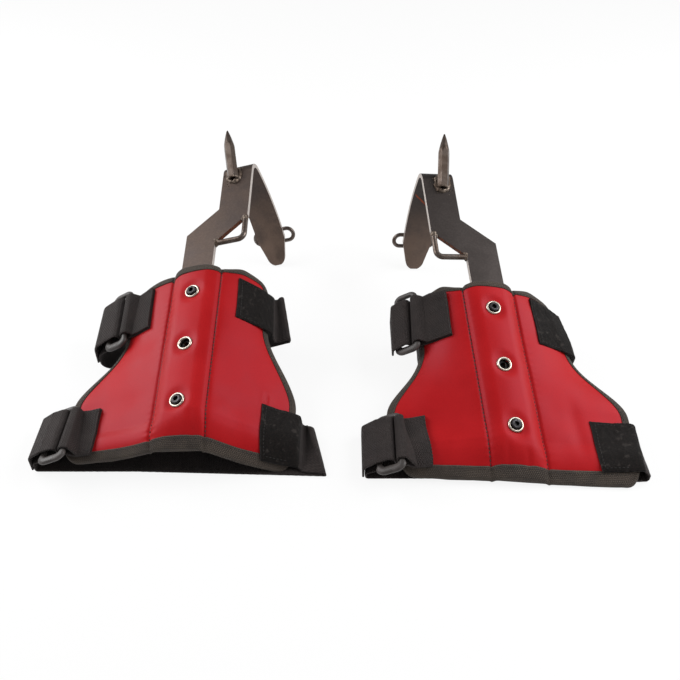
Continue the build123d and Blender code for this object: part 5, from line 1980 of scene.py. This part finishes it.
@dataclass
class Steelwork:
    """Bar, gaff, loops and welds of one unit."""

    unit: UnitFrame
    shop: Workshop
    skin: str
    cloud: str
    streaks: float = 0.0
    strip_edge: float = 0.5
    gaff_edge: float = 0.35
    foot_r: float = 5.2
    foot_from: float = 3.4
    foot_to: float = 5.0
    swell_length: float = 7.0
    rim_length: float = 2.6
    bead_half: float = 2.3
    bead_rise: float = 2.5
    collar_r: float = 3.75
    collar_half: float = 1.25
    spatter: int = 26
    loop_bead_half: float = 1.5
    loop_bead_reach: float = 5.6

    def steel_finish(self) -> MillScaleSteel:
        """Finish of the strip, told where this unit's bar, jog and plate are.

        Returns:
            The finish.
        """
        turn, hand = self.unit.turn, self.unit.lie.hand
        corner = self.shop.row(self.unit.steel([(hand * JOG_OFFSET, FOLD_AT, BAR_T / 2)])[0])
        inner = turn @ np.array([hand * np.cos(JOG_TURN), -np.sin(JOG_TURN), 0.0])
        return MillScaleSteel(
            f"hot_rolled_steel_{self.unit.name}", self.skin, self.cloud,
            across=tuple(turn[:, 0].tolist()), inner_edge=tuple(inner.tolist()),
            bar_axis=tuple(turn[:, 1].tolist()), origin=tuple(corner.tolist()),
            down_axis=tuple((-turn[:, 2]).tolist()), streaks=self.streaks)

    def fall(self, y: Array) -> Array:
        """Height of the strip's outer face along the bar: flat, then down round the fold."""
        past = np.clip(y - FOLD_START, 0, FOLD_OUTER_R - 0.05)
        return BAR_T - (FOLD_OUTER_R - np.sqrt(FOLD_OUTER_R ** 2 - past ** 2))

    def on_plate(self, s: float) -> tuple[Array, Array, Array]:
        """Place on the foot plate's middle surface, a length past the fold.

        The plate goes on turning evenly, so it is an arc of one large radius.

        Args:
            s: length over the curve.

        Returns:
            The place, the direction to the tip and the direction out of the back, in the bar's frame.
        """
        turn = FOLD_TURN + s / BOW_R
        tip = np.array([0.0, np.cos(turn), -np.sin(turn)])
        out = np.array([0.0, np.sin(turn), np.cos(turn)])
        fold_out = np.array([0.0, np.sin(FOLD_TURN), np.cos(FOLD_TURN)])
        start = np.array([self.unit.lie.hand * JOG_OFFSET, FOLD_START, BAR_T / 2 - FOLD_MID_R])
        return start + FOLD_MID_R * fold_out + BOW_R * (out - fold_out), tip, out

    def bead(self, points: Array, closed: bool = False) -> Surface:
        """Weld metal carried along a path, from points in the bar's frame."""
        loop, steps = points.shape[:2]
        return swept(self.unit.steel(points), np.arange(steps + 1.0), np.arange(loop + 1.0), closed)

    def build_gaff_weld(self) -> None:
        """Lumpy bead round the gaff's foot, with spatter beside it.

        The bead's path is the long round outline of the foot; its section is a round bead whose
        size swells and sinks along the path.
        """
        hand, name = self.unit.lie.hand, self.unit.name
        x0 = hand * (JOG_OFFSET - GAFF_SIDE)
        lean = -hand * np.tan(np.radians(GAFF_LEAN))
        start, stop = GAFF_AT - GAFF_BACK + self.foot_from, GAFF_AT - self.foot_to
        middle, half = (start + stop) / 2, (stop - start) / 2
        t, a = circle(96), circle(20)[:, None]
        py = middle + half * np.sign(np.cos(t)) * np.abs(np.cos(t)) ** 0.5 + self.foot_r * np.cos(t)
        px = x0 + self.foot_r * np.sin(t) * 1.05 + lean * (py - GAFF_AT)
        swell = 1 + 0.22 * wave(31 + hand, self.swell_length, px, py) + 0.16 * np.sin(9 * t + hand)
        line = np.stack([px, py], axis=1)
        way = unit_rows(np.roll(line, -1, axis=0) - np.roll(line, 1, axis=0))
        out = np.stack([-way[:, 1], way[:, 0]], axis=1)
        out *= np.sign(np.sum(out * (line - (x0, middle)), axis=1, keepdims=True))
        rim = wave(41 + hand, self.rim_length, px + np.cos(a) * 3, py + np.sin(a) * 3)
        rim = swell * (1 + 0.18 * rim)
        wide = self.bead_half * rim * np.cos(a) + 0.5
        x, y = px + out[:, 0] * wide, py + out[:, 1] * wide
        points = np.stack([x, y, self.fall(y) + self.bead_rise * rim * np.sin(a)], axis=2)
        skin = self.bead(points, True).joined(self.collar(x0, lean))
        draw = np.random.default_rng(11 + hand)
        far = 6.5 + 6.0 * draw.random(self.spatter) ** 1.6
        angle = 2 * np.pi * draw.random(self.spatter)
        size = 0.35 + 0.55 * draw.random(self.spatter) ** 2
        sx, sy = x0 + far * np.sin(angle), middle - 1.0 + (far + 1.5) * np.cos(angle)
        inside = (np.abs(sx - hand * JOG_OFFSET) < BAR_W / 2 - 1.0) & (sy < FOLD_AT + 1.0)
        skin = skin.joined(self.drops(np.stack([sx, sy, self.fall(sy)], axis=1)[inside], size[inside]))
        self.shop.piece(name + "_gaff_weld_bead", skin, [WELD], self.unit.body, "weld_bead",
                        [name + "_gaff_weld"])

    def collar(self, x0: float, lean: float) -> Surface:
        """Lumpy ring of weld metal on the rim of the gaff's hollow rear end.

        Args:
            x0: place of the gaff's axis across the bar.
            lean: its sideways slope.

        Returns:
            The ring.
        """
        tilt = np.radians(GAFF_TILT)
        way = np.array([lean * np.cos(tilt), np.cos(tilt), np.sin(tilt)])
        way /= np.linalg.norm(way)
        side = np.array([1.0, -lean, 0.0]) / np.hypot(1.0, lean)
        up = np.cross(side, way)
        centre = np.array([x0, GAFF_AT, BAR_T + GAFF_RISE]) - way * (GAFF_BACK + 0.2)
        t, a = circle(60), circle(14)[:, None]
        thick = self.collar_half * (1 + 0.2 * np.sin(5 * t + 0.7) + 0.14 * np.sin(11 * t))
        ring = side * np.cos(t)[:, None] + up * np.sin(t)[:, None]
        return self.bead(centre + ring * (self.collar_r + np.cos(a) * thick)[:, :, None]
                         + way * (np.sin(a) * thick)[:, :, None], True)

    def ball(self, sides: int, rings: int, pole: float) -> Array:
        """Unit ball, sides by rings by 3, open by a small angle at its poles."""
        turn, polar = np.meshgrid(circle(sides), np.linspace(pole, np.pi - pole, rings), indexing="ij")
        return np.stack([np.cos(turn) * np.sin(polar), np.sin(turn) * np.sin(polar), np.cos(polar)], axis=2)

    def drops(self, centres: Array, sizes: Array) -> Surface:
        """Small, slightly flat drops of weld metal in the bar's frame, half sunk into its face."""
        ball = self.ball(8, 5, 0.12) * (1.0, 1.0, 0.75)
        return shells(self.unit.steel(centres[:, None, None] + sizes[:, None, None, None] * ball))

    def blob(self, centre: Sequence[float], size: Sequence[float], seed: int) -> Surface:
        """Lump of weld metal: a ball whose radius is uneven.

        Args:
            centre: place in the bar's frame.
            size: half sizes.
            seed: start of its unevenness.

        Returns:
            The lump.
        """
        ball = self.ball(28, 18, 0.05)
        swell = 1 + 0.2 * wave(seed, 1.4, *np.moveaxis(ball, 2, 0))
        return self.bead(np.asarray(centre) + ball * swell[:, :, None] * np.asarray(size))

    def build_loop_welds(self) -> None:
        """Lumps at the rod's two ends and beads along the wire on the plate's back."""
        hand, name, edge, mid = self.unit.lie.hand, self.unit.name, BAR_W / 2, BAR_T / 2
        low_y = JOG_START - JOG_MITRE
        axis_x, axis_y = JOG_OFFSET + edge - SIDE_ROD_INSET, low_y - SIDE_ROD_DROP
        meet_y = low_y + (axis_x - edge) * (JOG_END - JOG_START) / JOG_OFFSET
        lumps = (((edge + 0.9, axis_y + 0.8, mid + 0.7), (2.6, 3.3, 3.0), 51),
                 ((edge + 0.6, axis_y - 1.6, mid), (1.8, 2.2, 2.4), 52),
                 ((axis_x, meet_y - 1.0, mid + 0.6), (3.2, 3.4, 3.0), 53),
                 ((axis_x - 2.2, meet_y - 2.4, mid + 0.2), (1.9, 2.0, 2.2), 54))
        parts = [self.blob((hand * x, y, z), size, seed) for (x, y, z), size, seed in lumps]
        reach = (SOLE_LOOP_L - SOLE_WIRE_D) / 2 + 2.6
        t, a = np.linspace(-1, 1, 30), circle(14)[:, None]
        along = np.array([1.0, 0.0, 0.0]) * (t * self.loop_bead_reach)[:, None]
        for k, side in enumerate((-1, 1)):
            size = self.loop_bead_half * np.sqrt(np.maximum(1 - t ** 6, 0.02))
            size = size * (1 + 0.18 * np.sin(17 * t + k) + 0.1 * np.sin(31 * t))
            centre, way, out = self.on_plate(SOLE_LOOP_AT - FOLD_TANGENT + side * reach)
            parts.append(self.bead(centre + out * (mid + 0.5) + along
                                   + way * (np.cos(a) * size)[:, :, None]
                                   + out * (np.sin(a) * size)[:, :, None]))
        self.shop.piece(name + "_loop_weld_beads", reduce(Surface.joined, parts), [WELD], self.unit.body,
                        "weld_bead", [name + "_loop_welds"])

    def build(self) -> None:
        """Dress the steel nodes and build the welds."""
        strip = (self.steel_finish(), self.strip_edge)
        looks = {"shank": strip, "stirrup": strip, "gaff": (GAFF, self.gaff_edge), "side_loop": (ROD,),
                 "sole_loop": (ROD,)}
        for part, look in looks.items():
            self.shop.dress_node(f"{self.unit.name}_{part}", *look)
        self.build_gaff_weld()
        self.build_loop_welds()


@dataclass(frozen=True)
class StudioFloor(Finish):
    """Pale sweep: white to the camera, matt for the light, with a faint shadow left."""

    shadow: float = 0.12

    def dress(self, add: AddNode, shader: Node) -> None:
        """Mix a white glow for what is seen directly with a matt floor.

        Args:
            add: adds a node to the material.
            shader: its principled shader.
        """
        feed(shader, {"Base Color": "#F4F4F4", "Roughness": 0.9, "Specular IOR Level": 0.1})
        glow = add("Emission", {"Color": (1, 1, 1, 1), "Strength": 1.0})
        rays = add("LightPath").outputs
        seen = add("Math", (rays["Is Camera Ray"], rays["Is Glossy Ray"]), "MAXIMUM")
        seen = add("Math", (seen, rays["Is Transmission Ray"]), "MAXIMUM")
        share = add("Math", (seen, 1.0 - self.shadow), "MULTIPLY")
        both = add("MixShader", (share, shader, glow))
        feed(shader.id_data.nodes["Material Output"], (both,))


@dataclass
class Studio:
    """Floor, lights and camera."""

    shop: Workshop
    camera_at: tuple = (0.0, -493.83, 545.72)
    camera_down: float = 43.098
    focal_px: float = 829.645
    image_px: float = 680.0
    sensor_mm: float = 36.0
    clip_m: tuple = (0.01, 50.0)
    world_level: float = 0.36
    floor_half_m: float = 4.0
    floor_points: int = 9
    floor_z_m: float = -0.0002

    def build_floor(self) -> None:
        """Wide flat floor just under the pair, as a grid of quads."""
        count = self.floor_points
        line = np.linspace(-self.floor_half_m, self.floor_half_m, count)
        x, y = (v.ravel() for v in np.meshgrid(line, line, indexing="ij"))
        points = np.stack([x, y, np.full(x.shape, self.floor_z_m)], axis=1)
        mesh = bpy.data.meshes.new("floor")
        mesh.from_pydata(points.tolist(), [], grid(count, count)[0].tolist())
        mesh.materials.append(StudioFloor("white_sweep").material())
        made = bpy.data.objects.new("floor", mesh)
        bpy.context.scene.collection.objects.link(made)

    def lamp(self, name: str, at: Sequence[float], target: Sequence[float], size: float,
             watts: float) -> None:
        """Square soft box aimed at a point.

        Args:
            name: name of the lamp.
            at: place in metres.
            target: point that it faces.
            size: width and height.
            watts: power.
        """
        data = bpy.data.lights.new(name, "AREA")
        data.shape = "RECTANGLE"
        data.size = data.size_y = size
        data.energy = watts
        made = bpy.data.objects.new(name, data)
        made.location = at
        made.visible_camera = False
        way = np.array(target, float) - np.array(at, float)
        way /= np.linalg.norm(way)
        # an area lamp shines along its own -Z
        made.rotation_euler = (np.arccos(-way[2]), 0.0, np.arctan2(-way[0], way[1]))
        bpy.context.scene.collection.objects.link(made)

    def build_lights(self) -> None:
        """Large soft boxes at both sides, and an even, dim world."""
        self.lamp("left_box", (-0.9, 0.22, 0.55), (-0.05, 0.0, 0.0), 0.75, 10.3)
        self.lamp("right_box", (0.85, 0.08, 0.65), (0.05, 0.0, 0.0), 0.75, 10.8)
        world = bpy.data.worlds.new("studio")
        bpy.context.scene.world = world
        world.use_nodes = True
        feed(world.node_tree.nodes["Background"], ((1, 1, 1, 1), self.world_level))

    def build_camera(self) -> None:
        """Camera at the picture's own angle."""
        data = bpy.data.cameras.new("camera")
        data.sensor_width = self.sensor_mm
        data.lens = self.focal_px * self.sensor_mm / self.image_px
        data.clip_start, data.clip_end = self.clip_m
        made = bpy.data.objects.new("camera", data)
        made.location = self.shop.row(np.array(self.camera_at)).tolist()
        made.rotation_euler = (np.radians(90.0 - self.camera_down), 0.0, 0.0)
        bpy.context.scene.collection.objects.link(made)
        bpy.context.scene.camera = made

    def build(self) -> None:
        """Set up the studio."""
        self.build_floor()
        self.build_lights()
        self.build_camera()
        bpy.context.scene.view_settings.view_transform = "Standard"


def main() -> None:
    """Build both units and the studio."""
    logging.basicConfig(level=logging.INFO, format="%(message)s")
    shop = Workshop()
    left, right = UnitFrame(LEFT), UnitFrame(RIGHT)
    shop.set_shift(left.steel([(0.0, 0.0, BAR_T / 2)])[0], "left_spare_hole")
    Studio(shop).build()
    left_pad = LegPad(left, shop, far_skew=(-3.9, -0.085), near_drop=(0.0, 4.6, 10.0),
                      creases=((76.0, -17.5, 6.0, 1.5, 1.3), (13.0, -56.0, 11.0, 0.9, 3.2)))
    right_pad = LegPad(right, shop, near_skew=(-5.0, -0.045), far_skew=(-6.2, 0.06),
                       near_drop=(0.0, 3.2, 1.2),
                       creases=((55.0, -38.0, 24.0, 0.9, 6.5), (-9.0, -67.0, 8.0, 0.8, 3.0),
                                (7.0, -69.0, 7.0, 0.7, 2.6)))
    left_steel = Steelwork(left, shop, "#493F3B", "#554841")
    right_steel = Steelwork(right, shop, "#3C3634", "#36302E", streaks=0.9)
    for steel, pad in ((left_steel, left_pad), (right_steel, right_pad)):
        steel.build()
        pad.build()
        for lie in STRAPS[pad.unit.name]:
            StrapSet(pad.unit, pad, lie, shop).build()
    LOG.info("%d new pieces", len(shop.names))


if __name__ == "__main__":
    main()
